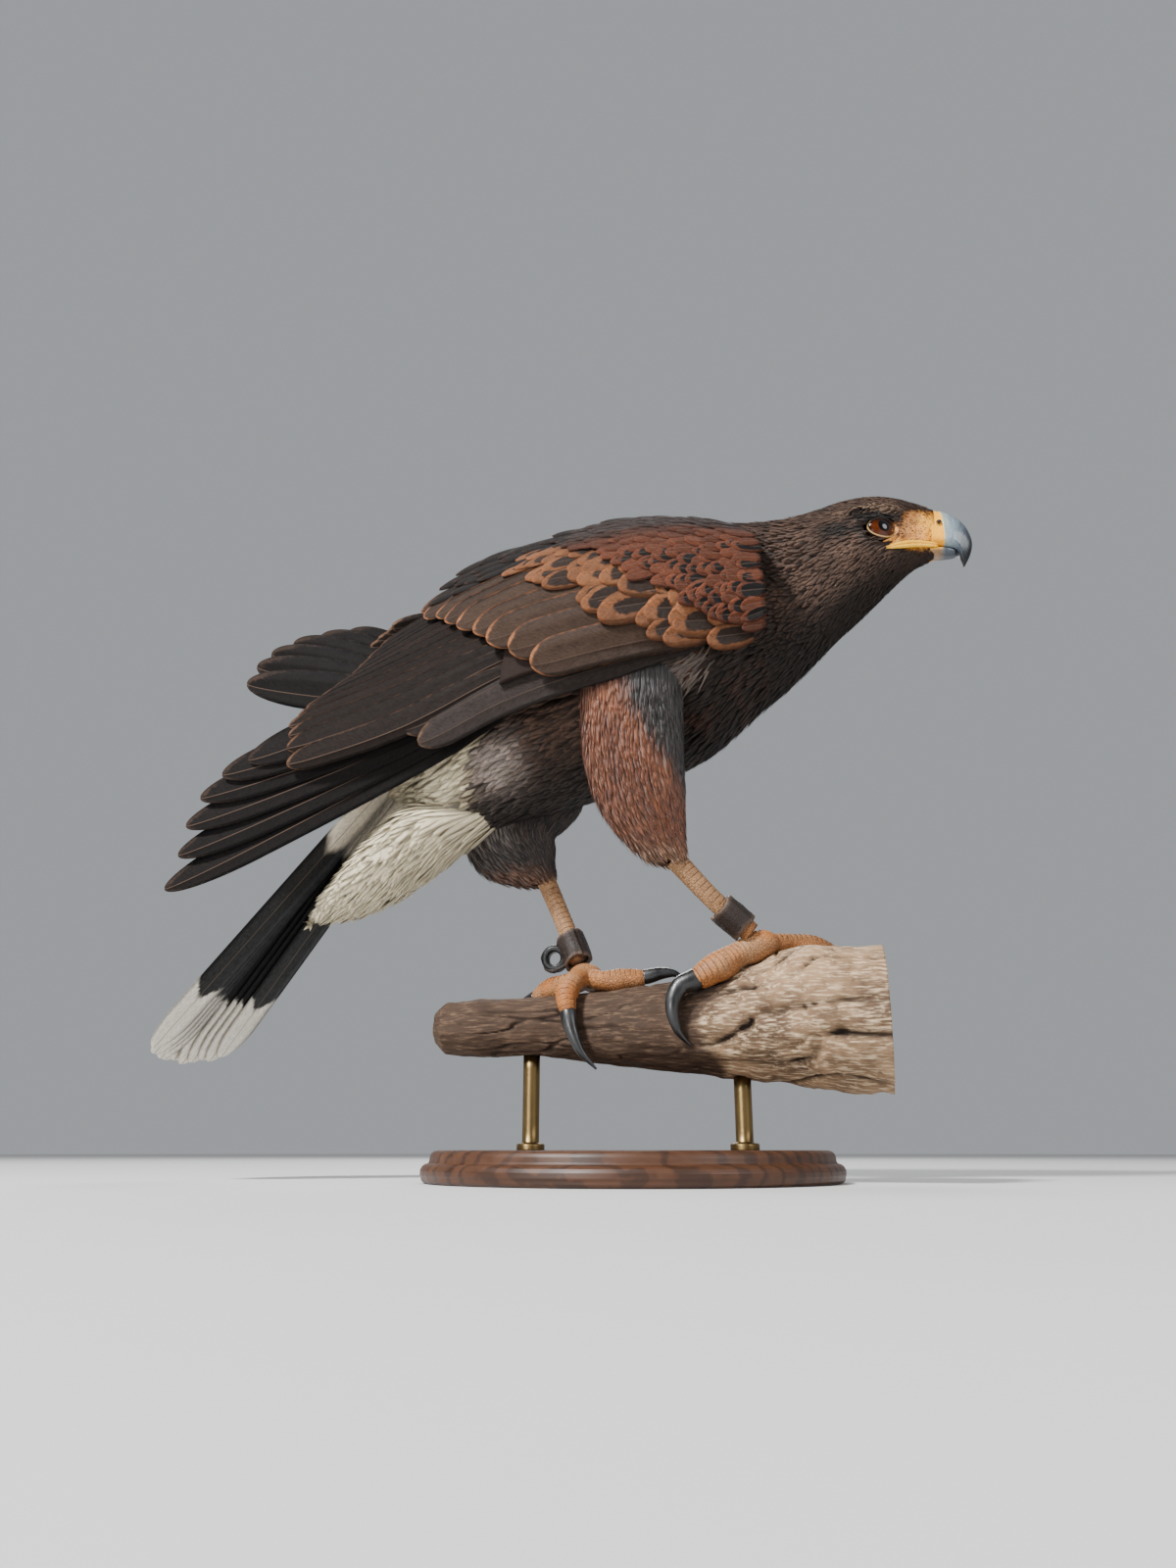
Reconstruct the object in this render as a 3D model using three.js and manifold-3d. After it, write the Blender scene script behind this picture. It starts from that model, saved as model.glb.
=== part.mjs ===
// A Harris's hawk, life size, walking forward along a dead branch with its head stretched out.
// Millimetres, +Z up. The bird faces +X and its right side is towards -Y. The origin is the
// centre of the stand base's underside, and the branch runs along X above it.

import * as THREE from 'three';
import { LoftGeometry } from 'three/addons/geometries/LoftGeometry.js';
import { mergeVertices } from 'three/addons/utils/BufferGeometryUtils.js';
import Module from 'manifold-3d';

const wasm = await Module();
wasm.setup();

// Driving sizes

const GAP = 0.3; // left between neighbouring pieces
const RIGHT = -1; // side of the bird, as the sign of Y
const LEFT = 1;

// Head, neck and body: each station runs from a point on the back to one on the underside (x, z),
// with the half width between them.
const trunkStations = [
  { back: [160.2, 329.2], under: [158.5, 300.2], half: 8.8 }, // front of the face
  { back: [152, 332.8], under: [150, 296.2], half: 12.2 },
  { back: [143, 335.6], under: [141, 290], half: 17 },
  { back: [131, 337.4], under: [129.5, 280], half: 21.2 }, // eyes
  { back: [117, 336.2], under: [119, 270.5], half: 24 },
  { back: [102, 332.2], under: [109, 262], half: 25.5 }, // back of the head
  { back: [86, 328.6], under: [98, 251.5], half: 28.5 },
  { back: [66, 327], under: [85, 240], half: 36 }, // base of the neck
  { back: [40, 328.5], under: [66, 225.5], half: 46 },
  { back: [8, 329], under: [42, 206], half: 51 }, // shoulders
  { back: [-30, 322], under: [10, 192], half: 50.5 },
  { back: [-68, 303], under: [-24, 184], half: 44.5 },
  { back: [-98, 275], under: [-56, 177], half: 36.5 },
  { back: [-120, 246], under: [-84, 172], half: 27 }, // rump
  { back: [-129, 226], under: [-100, 180], half: 18 },
];
const headEnd = 4.75; // stations, counted from the face
const neckEnd = 6.9;

// Bill: culmen above, cutting edge below
const upperBillStations = [
  { back: [160.6, 329], under: [159.2, 305.4], half: 8.6 },
  { back: [165.4, 327], under: [164.2, 305.2], half: 8.2 }, // front of the cere
  { back: [170, 324.4], under: [168.4, 304.6], half: 7.2 },
  { back: [174.6, 320.8], under: [171, 303.4], half: 6 },
  { back: [177.9, 315], under: [172.2, 301.8], half: 4.7 },
  { back: [179.4, 308], under: [172.8, 299.4], half: 3.3 },
  { back: [178, 301.6], under: [173.4, 297.2], half: 1.9 },
  { back: [174.8, 295.4], under: [173.8, 294.9], half: 0.5 }, // tip of the hook
];
const lowerBillStations = [
  { back: [159.6, 304.8], under: [160.2, 299.4], half: 6.9 },
  { back: [165.4, 304.5], under: [166, 299.8], half: 5.6 },
  { back: [169.6, 303.6], under: [169.8, 300.6], half: 4 },
  { back: [171.4, 302.4], under: [171.3, 301.2], half: 1.6 },
];
const nostril = { at: [163.4, 317.4], side: 7.6, radius: 1.3, depth: 2.6 };
const mouthLine = [[162, 305.1], [152, 305.4], [144, 303.6], [135.6, 300.8]]; // x, z, back to the gape
const mouthLineInset = [5.4, 8.2, 12, 16.2]; // inner edge of the line, from the middle of the head
const mouthLineOutside = 30; // the cut runs out past the skin
const mouthLineHeight = 0.9;
const lip = { radius: 1, out: 3.1, rise: 1.1 }; // from the mouth line

const eye = { at: [131.8, 11.9, 312.6], radius: 8.8, gazeTurn: 27, gazeDrop: 0.03, opening: 6.9 };
const lid = { tube: 1.25, out: 0.75, squash: 0.84 };
const browLine = [[150, 13.4, 319.6], [141, 18.4, 322], [131, 20.4, 321.6], [121, 21.6, 318.6]];
const browRadius = 2.1;

// Tail: plane through Y and this direction, ventral side towards +X
const tail = {
  root: [-106, 0, 229],
  down: 51.6, // degrees below the horizontal
  length: 218,
  outerLoss: 9, // how much shorter the outermost feather is
  pairs: 6,
  rootPitch: 2, // sideways step between feathers at their roots
  tipPitch: 5.8,
  width: 26,
  step: 0.95, // from one layer to the next
};
const tailRoot = [ // soft mass over the quills: how far along, and its half width and depth
  { run: 0, wide: 20, deep: 8 },
  { run: 34, wide: 20, deep: 6.5 },
  { run: 60, wide: 15, deep: 3 },
];
const tailRootDrop = 3.5; // layers below the uppermost feather
const vaneThickness = 0.65;

// Upper and lower outline of the feather mass under the tail (x, z)
const undertailStations = [
  { back: [-99, 186], under: [-70, 171], half: 20 },
  { back: [-118, 181], under: [-88, 163.5], half: 26 },
  { back: [-134.5, 164], under: [-108, 151], half: 27 },
  { back: [-147.5, 149], under: [-126, 139.5], half: 24 },
  { back: [-158, 137], under: [-144, 132], half: 17 },
  { back: [-163.5, 131.2], under: [-158, 129], half: 8 },
];

// Wings: four guide lines each, from the lower edge up to the spine, front to back
const rightWingGuide = [
  [[70, -48, 247], [12, -63, 237], [-47, -61.5, 225.5], [-107, -52, 205.5], [-169, -41, 196]],
  [[73, -54, 268], [20, -67, 262], [-41, -64, 253], [-102, -54, 236], [-170, -37, 225]],
  [[69, -46, 295], [22, -57, 294], [-32, -52, 289], [-88, -40, 275], [-142, -24, 258]],
  [[57, -23, 318], [20, -20.5, 327], [-26, -18, 326.5], [-74, -13, 317], [-117, -7, 300]],
];
const leftWingGuide = [
  [[70, 48, 247], [12, 65, 250], [-50, 68, 260], [-110, 63, 268], [-166, 53, 274]],
  [[73, 54, 268], [18, 70, 276], [-44, 71, 284], [-106, 66, 291], [-176, 51, 291]],
  [[69, 46, 295], [21, 58, 303], [-36, 56, 309], [-94, 51, 314], [-158, 43, 308]],
  [[57, 23, 318], [20, 20.5, 327], [-28, 19, 328], [-80, 23, 327], [-132, 30, 320]],
];

// Legs. Each thigh and tarsus is a row of stations: centre, half size sideways, half size fore and aft.
const legs = {
  R: {
    side: RIGHT,
    thigh: [
      { at: [8, -36, 236], wide: 17, deep: 27 },
      { at: [9, -38, 214], wide: 18, deep: 25 },
      { at: [10, -37, 190], wide: 16, deep: 23.5 },
      { at: [14, -32, 170], wide: 13.5, deep: 20 },
      { at: [20, -27, 155], wide: 9.5, deep: 13.5 },
      { at: [25.5, -23.6, 145.4], wide: 6.6, deep: 7.4 },
    ],
    tarsus: { top: [26.4, -23, 144.4], knee: [43, -19, 125.6], foot: [59.5, -12, 110.4] },
    palm: [64, -8.5, 105.6],
    anklet: 0.77,
  },
  L: {
    side: LEFT,
    thigh: [
      { at: [-52, 34, 238], wide: 17, deep: 30 },
      { at: [-60, 35, 214], wide: 18, deep: 34 },
      { at: [-67, 33, 192], wide: 17, deep: 34 },
      { at: [-66, 29, 172], wide: 14.5, deep: 27 },
      { at: [-56, 25, 158], wide: 10, deep: 15 },
      { at: [-49, 22.6, 150.4], wide: 6.6, deep: 7.4 },
    ],
    tarsus: { top: [-48.2, 22.3, 149.2], knee: [-37.5, 17.5, 126], foot: [-28, 12, 104] },
    palm: [-23.5, 8.5, 95.4],
    anklet: 0.87,
  },
};
const tarsusHalf = { wide: 4.3, deep: 4.8 };
const palmHalf = [8.6, 7.4, 6.6];

// Toes and claws, as places on the branch: x, turn about it (0 is +Y, 90 is up) and rise off the wood.
// The first three or four places belong to the toe and the rest to its claw.
const digits = {
  R: {
    hallux: {
      toe: [[54, 113, 6.4], [43, 131, 7], [34, 142, 7.4]],
      claw: [[27, 149, 7.6], [24, 167, 6], [26, 189, 4], [31.5, 208, 1.6]],
      radius: 6.4,
    },
    inner: {
      toe: [[65, 68, 5.2], [67, 44, 5], [68, 23, 4.9]],
      claw: [[69, 9, 4.8], [69, -6, 4], [66, -20, 1.8]],
      radius: 4.9,
    },
    middle: {
      toe: [[75, 73, 5.2], [85, 54, 5], [93, 36, 4.8]],
      claw: [[98, 24, 5], [101, 9, 4.2], [100, -5, 1.6]],
      radius: 4.8,
    },
    outer: {
      toe: [[76, 90, 4.8], [88, 78, 4.6], [98, 66, 4.5]],
      claw: [[105, 58, 4.8], [110, 49, 3.6], [112, 40, 1.4]],
      radius: 4.4,
    },
  },
  L: {
    hallux: {
      toe: [[-31, 82, 6], [-41, 66, 5.9], [-50, 49, 5.8]],
      claw: [[-57, 35, 5.6], [-60, 15, 5], [-57, -6, 2]],
      radius: 5.4,
    },
    inner: {
      toe: [[-25.5, 108, 5.8], [-27.5, 138, 5.4], [-25.5, 168, 5.2]],
      claw: [[-23.4, 190, 5.6], [-19.4, 211, 7.6], [-12.6, 227, 9.4]],
      radius: 5,
    },
    middle: {
      toe: [[-14, 90, 5.6], [-3, 87, 5.2], [8, 86, 4.9]],
      claw: [[15, 85, 5.6], [21, 84, 4.8], [26, 83, 1.6]],
      radius: 4.8,
    },
    outer: {
      toe: [[-17, 66, 5.2], [-12, 40, 5], [-9, 15, 4.8]],
      claw: [[-8, -4, 5], [-10, -21, 4], [-14, -37, 1.8]],
      radius: 4.4,
    },
  },
};

// Leather cuffs round both tarsi, the left one with an eyelet in its tab
const anklet = { bore: 5.4, wall: 2, height: 15 };
const eyelet = { back: 10.6, bore: 3.2, barrel: 3.9, flange: 6.7, flangeThickness: 1 };
const tab = { from: 6, to: 17.4, thickness: 3.4, height: 14 };

// Branch: a cut length of dead wood along X (x, height of its middle, radius)
const branchStations = [
  [-96, 71.5, 8], [-91, 71, 12.5], [-74, 70.8, 14], [-42, 70.6, 14.4], [-10, 69, 17.4], [20, 69, 20.6],
  [45, 70.4, 24.2], [65, 71.6, 27], [85, 71.6, 29.6], [105, 71, 31.5], [119, 70.6, 32.5],
];
const branchRows = 20;
const branchAround = 18;
const burr = { x: 84, turn: 128, length: 19, spread: 38, rise: 6.6 }; // before the right foot
const gnarl = 0.9;

const base = { radius: 96, thickness: 14, edge: 3 };
const rods = { front: 52, rear: -48, radius: 4 };

const featherSeed = 7;
const branchSeed = 31;
const mergeDistance = 1e-3;

// Materials

const finishes = {
  darkFeather: { color: '#3b2c24', roughness: 0.85 },
  bodyFeather: { color: '#33261f', roughness: 0.9 },
  chestnut: { color: '#7d4427', roughness: 0.88 },
  flight: { color: '#2c2320', roughness: 0.7 },
  tailBlack: { color: '#1d1a19', roughness: 0.65 },
  cream: { color: '#d9cba9', roughness: 0.92 },
  billHorn: { color: '#5f6a72', roughness: 0.35 },
  eyeGloss: { color: '#2a140a', roughness: 0.05 },
  legSkin: { color: '#b98a58', roughness: 0.6 },
  footSkin: { color: '#c07434', roughness: 0.6 },
  clawHorn: { color: '#1c1c1f', roughness: 0.25 },
  leather: { color: '#2b201c', roughness: 0.7 },
  eyeletBlack: { color: '#141414', roughness: 0.4, metalness: 0.6 },
  bark: { color: '#6b4a33', roughness: 0.9 },
  standWood: { color: '#3a2a1e', roughness: 0.45 },
  standRod: { color: '#8a7a5a', roughness: 0.35, metalness: 0.9 },
};

function finish(name) {
  const { color, roughness, metalness = 0 } = finishes[name];
  return new THREE.MeshStandardMaterial({ name, color, roughness, metalness });
}

// Solids

const hawk = new THREE.Group();
hawk.name = 'harris_hawk';

const radians = THREE.MathUtils.degToRad;
const mix = THREE.MathUtils.lerp;
const vector = (place) => new THREE.Vector3(...place);

// A repeatable draw from -1 to 1
function seededDraw(seed) {
  let state = seed;
  return () => {
    state = (state * 1664525 + 1013904223) % 4294967296;
    return (state / 4294967296) * 2 - 1;
  };
}

function signedVolume(points, triangles) {
  let volume = 0;
  for (let i = 0; i < triangles.length; i += 3) {
    const [a, b, c] = [0, 1, 2].map((k) => points[triangles[i + k]]);
    volume += a.dot(new THREE.Vector3().crossVectors(b, c));
  }
  return volume / 6;
}

// A closed surface of shared points becomes a solid, turned right side out
function solidOf(points, triangles) {
  const facing = signedVolume(points, triangles) < 0 ? [0, 2, 1] : [0, 1, 2];
  const triVerts = new Uint32Array(triangles.length);
  for (let i = 0; i < triangles.length; i += 3) {
    facing.forEach((from, to) => { triVerts[i + to] = triangles[i + from]; });
  }
  const vertProperties = new Float32Array(points.flatMap((p) => [p.x, p.y, p.z]));
  return new wasm.Manifold(new wasm.Mesh({ numProp: 3, vertProperties, triVerts }));
}

function solidFromGeometry(source) {
  const bare = new THREE.BufferGeometry();
  bare.setAttribute('position', source.getAttribute('position'));
  bare.setIndex(source.index);
  const merged = mergeVertices(bare, mergeDistance);
  const position = merged.getAttribute('position');
  const points = Array.from({ length: position.count }, (_, i) => (
    new THREE.Vector3().fromBufferAttribute(position, i)
  ));
  const corners = Array.from(merged.index.array);
  const whole = [];
  for (let i = 0; i < corners.length; i += 3) {
    const [a, b, c] = corners.slice(i, i + 3);
    if (a !== b && b !== c && c !== a) whole.push(a, b, c);
  }
  return solidOf(points, whole);
}

// Rings skinned from first to last, each wound counterclockwise as seen from the end
function loft(sections) {
  const [first, second] = sections;
  const sumOf = (ring) => ring.reduce((sum, p) => sum.add(p), new THREE.Vector3());
  const middle = (ring) => sumOf(ring).divideScalar(ring.length);
  const centre = middle(first);
  const winding = first.reduce((sum, p, k) => {
    const next = first[(k + 1) % first.length];
    return sum.add(p.clone().sub(centre).cross(next.clone().sub(centre)));
  }, new THREE.Vector3());
  const forward = winding.dot(middle(second).sub(centre)) > 0;
  const rings = forward ? sections : sections.map((ring) => ring.slice().reverse());
  return solidFromGeometry(new LoftGeometry(rings, { capStart: true, capEnd: true }));
}

// Two grids of points, one over the other, joined round their rim and split into triangles alike
function slab(over, under) {
  const rows = over.length;
  const columns = over[0].length;
  const triangles = [];
  const at = (face, i, j) => (face * rows + i) * columns + j;
  for (let i = 0; i < rows - 1; i += 1) {
    for (let j = 0; j < columns - 1; j += 1) {
      for (const face of [0, 1]) {
        const [near, far] = [at(face, i, j), at(face, i + 1, j + 1)];
        const corners = [[near, at(face, i, j + 1), far], [near, far, at(face, i + 1, j)]];
        corners.forEach((corner) => triangles.push(...(face === 0 ? corner : corner.reverse())));
      }
    }
  }
  const rim = [];
  for (let j = 0; j < columns; j += 1) rim.push([0, j]);
  for (let i = 1; i < rows; i += 1) rim.push([i, columns - 1]);
  for (let j = columns - 2; j >= 0; j -= 1) rim.push([rows - 1, j]);
  for (let i = rows - 2; i > 0; i -= 1) rim.push([i, 0]);
  rim.forEach(([i, j], k) => {
    const [m, n] = rim[(k + 1) % rim.length];
    triangles.push(at(0, i, j), at(1, i, j), at(1, m, n), at(0, i, j), at(1, m, n), at(0, m, n));
  });
  return solidOf([...over.flat(), ...under.flat()], triangles);
}

const join = (solids) => wasm.Manifold.union(solids);

function largestOf(solid) {
  return solid.decompose().reduce((best, piece) => (piece.volume() > best.volume() ? piece : best));
}

function addNode(name, solid, finishName) {
  const { vertProperties, triVerts } = largestOf(solid).getMesh();
  const geometry = new THREE.BufferGeometry();
  geometry.setAttribute('position', new THREE.Float32BufferAttribute(vertProperties, 3));
  geometry.setIndex(new THREE.Uint32BufferAttribute(triVerts, 1));
  geometry.computeVertexNormals();
  const mesh = new THREE.Mesh(geometry, finish(finishName));
  mesh.name = name;
  hawk.add(mesh);
}

// A place on a spline through the given points, 0 at the first and 1 at the last, and straight on past it
function along(points, u) {
  const curve = new THREE.CatmullRomCurve3(points.map(vector));
  curve.curveType = 'catmullrom';
  const inside = THREE.MathUtils.clamp(u, 0, 1);
  const place = curve.getPoint(inside);
  if (u === inside) return place;
  const edge = inside === 1 ? 0.98 : 0.02;
  const run = place.clone().sub(curve.getPoint(edge)).divideScalar(inside - edge);
  return place.addScaledVector(run, u - inside);
}

// A form in the bird's middle plane, lofted through stations. widest is the height of the widest
// place, from 0 at the underside to 1 at the back, and a squareness of 2 gives ellipses.
class Form {
  constructor(stations, { widest = 0.5, squareness = 2, around = 24 } = {}) {
    this.backs = stations.map(({ back }) => [back[0], 0, back[1]]);
    this.unders = stations.map(({ under }) => [under[0], 0, under[1]]);
    this.halves = stations.map(({ half }) => [half, 0, 0]);
    this.last = stations.length - 1;
    Object.assign(this, { widest, squareness, around });
  }

  // A turn of 0 is towards +Y and 90 is the back. shift moves the section along the form.
  point(station, turn, { grow = 0, shift = 0 } = {}) {
    const u = station / this.last;
    const back = along(this.backs, u);
    const under = along(this.unders, u);
    const half = along(this.halves, u).x + grow;
    const up = back.clone().sub(under).normalize();
    back.addScaledVector(up, grow);
    under.addScaledVector(up, -grow);
    const ahead = new THREE.Vector3(up.z, 0, -up.x);
    const power = 2 / this.squareness;
    const [c, s] = [Math.cos(radians(turn)), Math.sin(radians(turn))];
    const rise = Math.sign(s) * Math.abs(s) ** power;
    const level = this.widest + rise * (rise > 0 ? 1 - this.widest : this.widest);
    const side = Math.sign(c) * Math.abs(c) ** power * half;
    const place = under.addScaledVector(up, level * back.distanceTo(under));
    return place.addScaledVector(ahead, -shift).setY(side);
  }

  section(station, options) {
    const step = 360 / this.around;
    return Array.from({ length: this.around }, (_, k) => this.point(station, k * step, options));
  }

  solid(from, to, rows, { grow = 0, startShift = 0, endShift = 0 } = {}) {
    return loft(Array.from({ length: rows + 1 }, (_, i) => {
      let shift = 0;
      if (i === 0) shift = startShift;
      if (i === rows) shift = endShift;
      return this.section(mix(from, to, i / rows), { grow, shift });
    }));
  }
}

// A limb along a spline: stations with a centre, a half size sideways and one fore and aft
function limbPoint(stations, u, turn, grow = 0) {
  const centres = stations.map(({ at }) => at);
  const size = along(stations.map(({ wide, deep }) => [wide, deep, 0]), u);
  const run = along(centres, u + 0.01).sub(along(centres, u - 0.01)).normalize();
  const sideways = new THREE.Vector3(0, 1, 0).addScaledVector(run, -run.y).normalize();
  const deepways = new THREE.Vector3().crossVectors(run, sideways);
  return along(centres, u)
    .addScaledVector(sideways, Math.cos(radians(turn)) * (size.x + grow))
    .addScaledVector(deepways, Math.sin(radians(turn)) * (size.y + grow));
}

function limb(stations, { from = 0, to = 1, rows = 8, around = 12, grow = 0 } = {}) {
  const turns = Array.from({ length: around }, (_, k) => (k / around) * 360);
  const ring = (u) => turns.map((turn) => limbPoint(stations, u, turn, grow));
  return loft(Array.from({ length: rows + 1 }, (_, i) => ring(mix(from, to, i / rows))));
}

// The outward direction of a surface given as a function of two values
function outward(surface, a, b, [stepA, stepB], inside) {
  const first = surface(a + stepA, b).sub(surface(a - stepA, b));
  const second = surface(a, b + stepB).sub(surface(a, b - stepB));
  const normal = first.cross(second).normalize();
  return normal.dot(surface(a, b).sub(inside)) < 0 ? normal.negate() : normal;
}

// A feather vane. place(u) gives its middle line from root to tip and the way its upper face looks.
// tilt lifts its left edge, seen from the root, and lift is the height off the middle line at the
// root, where the feather comes clear of the skin, and at the tip.
const vaneSteps = [0, 0.3, 0.8, 1];
const vaneOutline = [0.5, 0.95, 0.95, 0.34];
const clearStep = vaneSteps[1];

function heightAt([root, clear, tip], u) {
  if (u < clearStep) return mix(root, clear, u / clearStep);
  return mix(clear, tip, (u - clearStep) / (1 - clearStep));
}

function vane(place, { width, tilt = 0, lift = [0, 0, 0], thickness = vaneThickness, grow = 0 }) {
  const over = [];
  const under = [];
  vaneSteps.forEach((u, k) => {
    const { at, out } = place(u);
    const run = place(Math.min(u + 0.02, 1)).at.sub(place(Math.max(u - 0.02, 0)).at).normalize();
    const left = new THREE.Vector3().crossVectors(out, run).normalize();
    const face = new THREE.Vector3().crossVectors(run, left);
    const across = left.clone().applyAxisAngle(run, radians(tilt));
    const normal = face.clone().applyAxisAngle(run, radians(tilt));
    const middle = at.clone().addScaledVector(face, heightAt(lift, u));
    const half = (width / 2) * vaneOutline[k] + grow;
    const thick = thickness * (u === 1 ? 0.8 : 1) / 2 + grow;
    const edges = [-half, half].map((reach) => middle.clone().addScaledVector(across, reach));
    over.push(edges.map((edge) => edge.clone().addScaledVector(normal, thick)));
    under.push(edges.map((edge) => edge.clone().addScaledVector(normal, -thick)));
  });
  return slab(over, under);
}

// Body, neck and head

const trunk = new Form(trunkStations, { widest: 0.53, squareness: 2.15, around: 22 });
const lastStation = trunkStations.length - 1;
const torso = trunk.solid(neckEnd, lastStation, 14, { startShift: GAP / 2 });
const torsoRoom = { from: neckEnd - 0.4, to: lastStation + 0.02, grow: GAP * 1.6 }; // wings keep out
const clearOfTorso = trunk.solid(torsoRoom.from, torsoRoom.to, 15, { grow: torsoRoom.grow });

function mirrored(place, side) {
  return [place[0], place[1] * side, place[2]];
}

// Both eyes look forward and out
function gaze(side) {
  const turn = radians(eye.gazeTurn);
  return new THREE.Vector3(Math.sin(turn), Math.cos(turn) * side, -eye.gazeDrop).normalize();
}

function turnedTo(geometry, direction, place) {
  const turn = new THREE.Quaternion().setFromUnitVectors(new THREE.Vector3(0, 0, 1), direction);
  return geometry.applyQuaternion(turn).translate(...place);
}

function eyeball(side, radius) {
  const ball = new THREE.SphereGeometry(radius, 14, 8).rotateX(Math.PI / 2);
  return solidFromGeometry(turnedTo(ball, gaze(side), mirrored(eye.at, side)));
}

function lids(side) {
  const out = Math.sqrt(eye.radius ** 2 - eye.opening ** 2);
  const ring = new THREE.TorusGeometry(eye.opening + lid.out, lid.tube, 5, 14);
  const centre = vector(mirrored(eye.at, side)).addScaledVector(gaze(side), out);
  turnedTo(ring, gaze(side), [0, 0, 0]).scale(1, 1, lid.squash).translate(...centre.toArray());
  return solidFromGeometry(ring);
}

function bar(points, radius, { rows = 6, around = 5 } = {}) {
  const stations = points.map((at, k) => {
    const end = k === 0 || k === points.length - 1;
    return { at, wide: end ? radius * 0.5 : radius, deep: end ? radius * 0.5 : radius };
  });
  return limb(stations, { rows, around });
}

function mouthCut(side) {
  const sheet = (rise) => mouthLine.map(([x, z], k) => [mouthLineInset[k], mouthLineOutside].map(
    (reach) => new THREE.Vector3(x, reach * side, z + rise),
  ));
  return slab(sheet(mouthLineHeight / 2), sheet(-mouthLineHeight / 2));
}

function lips(side) {
  return [1, -1].map((above) => {
    const line = mouthLine.slice(1).map(([x, z], k) => (
      [x, (mouthLineInset[k + 1] + lip.out) * side, z + above * lip.rise]
    ));
    return bar(line, lip.radius, { rows: 4 });
  });
}

const headForm = new Form(trunkStations, { widest: 0.55, squareness: 2.1, around: 24 });
let head = headForm.solid(0, headEnd, 15, { endShift: -GAP / 2 });
for (const side of [RIGHT, LEFT]) {
  const brow = bar(browLine.map((place) => mirrored(place, side)), browRadius);
  head = join([head, lids(side), brow, ...lips(side)]);
}
for (const side of [RIGHT, LEFT]) {
  head = head.subtract(eyeball(side, eye.radius + GAP)).subtract(mouthCut(side));
}
addNode('head', head, 'bodyFeather');
addNode('eye_R', eyeball(RIGHT, eye.radius), 'eyeGloss');
addNode('eye_L', eyeball(LEFT, eye.radius), 'eyeGloss');

function nostrilCut(side) {
  const hole = new THREE.CylinderGeometry(nostril.radius, nostril.radius, nostril.depth * 2, 8);
  return solidFromGeometry(hole.translate(nostril.at[0], nostril.side * side, nostril.at[1]));
}

const upperBill = new Form(upperBillStations, { widest: 0.2, squareness: 2.3, around: 16 });
const lowerBill = new Form(lowerBillStations, { widest: 0.8, squareness: 2.4, around: 12 });
const billSolid = upperBill.solid(0, upperBillStations.length - 1, 12);
addNode('bill_upper', billSolid.subtract(nostrilCut(RIGHT)).subtract(nostrilCut(LEFT)), 'billHorn');
addNode('bill_lower', lowerBill.solid(0, lowerBillStations.length - 1, 6), 'billHorn');
const neck = trunk.solid(headEnd, neckEnd, 6, { startShift: GAP / 2, endShift: -GAP / 2 });
addNode('neck', neck, 'bodyFeather');
addNode('torso', torso, 'bodyFeather');

// Tail feathers, the middle pair on top and each next one a layer lower

const tailRun = new THREE.Vector3(-Math.cos(radians(tail.down)), 0, -Math.sin(radians(tail.down)));
const tailTop = new THREE.Vector3(-Math.sin(radians(tail.down)), 0, Math.cos(radians(tail.down)));

function tailVane(pair, side, grow = 0) {
  const rank = pair + 0.5;
  const outer = rank / (tail.pairs - 0.5);
  const layer = pair < 2 ? pair * 2 + (side === LEFT ? 1 : 0) : pair + 2;
  const length = tail.length - tail.outerLoss * outer ** 2 - (layer % 3);
  const place = (u) => {
    const sideways = side * rank * mix(tail.rootPitch, tail.tipPitch, u);
    const at = vector(tail.root).addScaledVector(tailRun, length * u);
    at.addScaledVector(tailTop, -layer * tail.step).setY(sideways);
    return { at, out: tailTop };
  };
  return vane(place, { width: tail.width, grow });
}

const tailPairs = Array.from({ length: tail.pairs }, (_, pair) => pair);
const tailFeathers = tailPairs.flatMap((pair) => [tailVane(pair, RIGHT), tailVane(pair, LEFT)]);

function tailRootSolid(grow = 0) {
  const start = vector(tail.root).addScaledVector(tailTop, -tailRootDrop * tail.step);
  const stations = tailRoot.map(({ run, wide, deep }) => (
    { at: start.clone().addScaledVector(tailRun, run).toArray(), wide, deep }
  ));
  return limb(stations, { rows: 5, around: 12, grow });
}

addNode('tail', join([tailRootSolid(), ...tailFeathers]).subtract(clearOfTorso), 'tailBlack');

// Feathers under the tail, in rows over their own soft mass

const undertail = new Form(undertailStations, { widest: 0.45, squareness: 2.1, around: 14 });
const undertailRows = [
  { root: 0.5, tip: 2.7, turns: [220, 253, 287, 320], width: 12, lift: [-4, 0.8, 2.2] },
  { root: 1.9, tip: 4, turns: [210, 250, 290, 330], width: 12.5, lift: [-4, 0.8, 2.6] },
  { root: 3, tip: 5.2, turns: [232, 270, 308], width: 12, lift: [-4, 0.6, 2.4] },
];

function undertailVanes({ root, tip, turns, width, lift }) {
  return turns.map((turn) => {
    const surface = (station, angle) => undertail.point(station, angle);
    const place = (u) => {
      const station = mix(root, tip, u);
      const inside = undertail.point(station, 90).lerp(undertail.point(station, 270), 0.5);
      return { at: surface(station, turn), out: outward(surface, station, turn, [0.05, 4], inside) };
    };
    return vane(place, { width, lift });
  });
}

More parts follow.
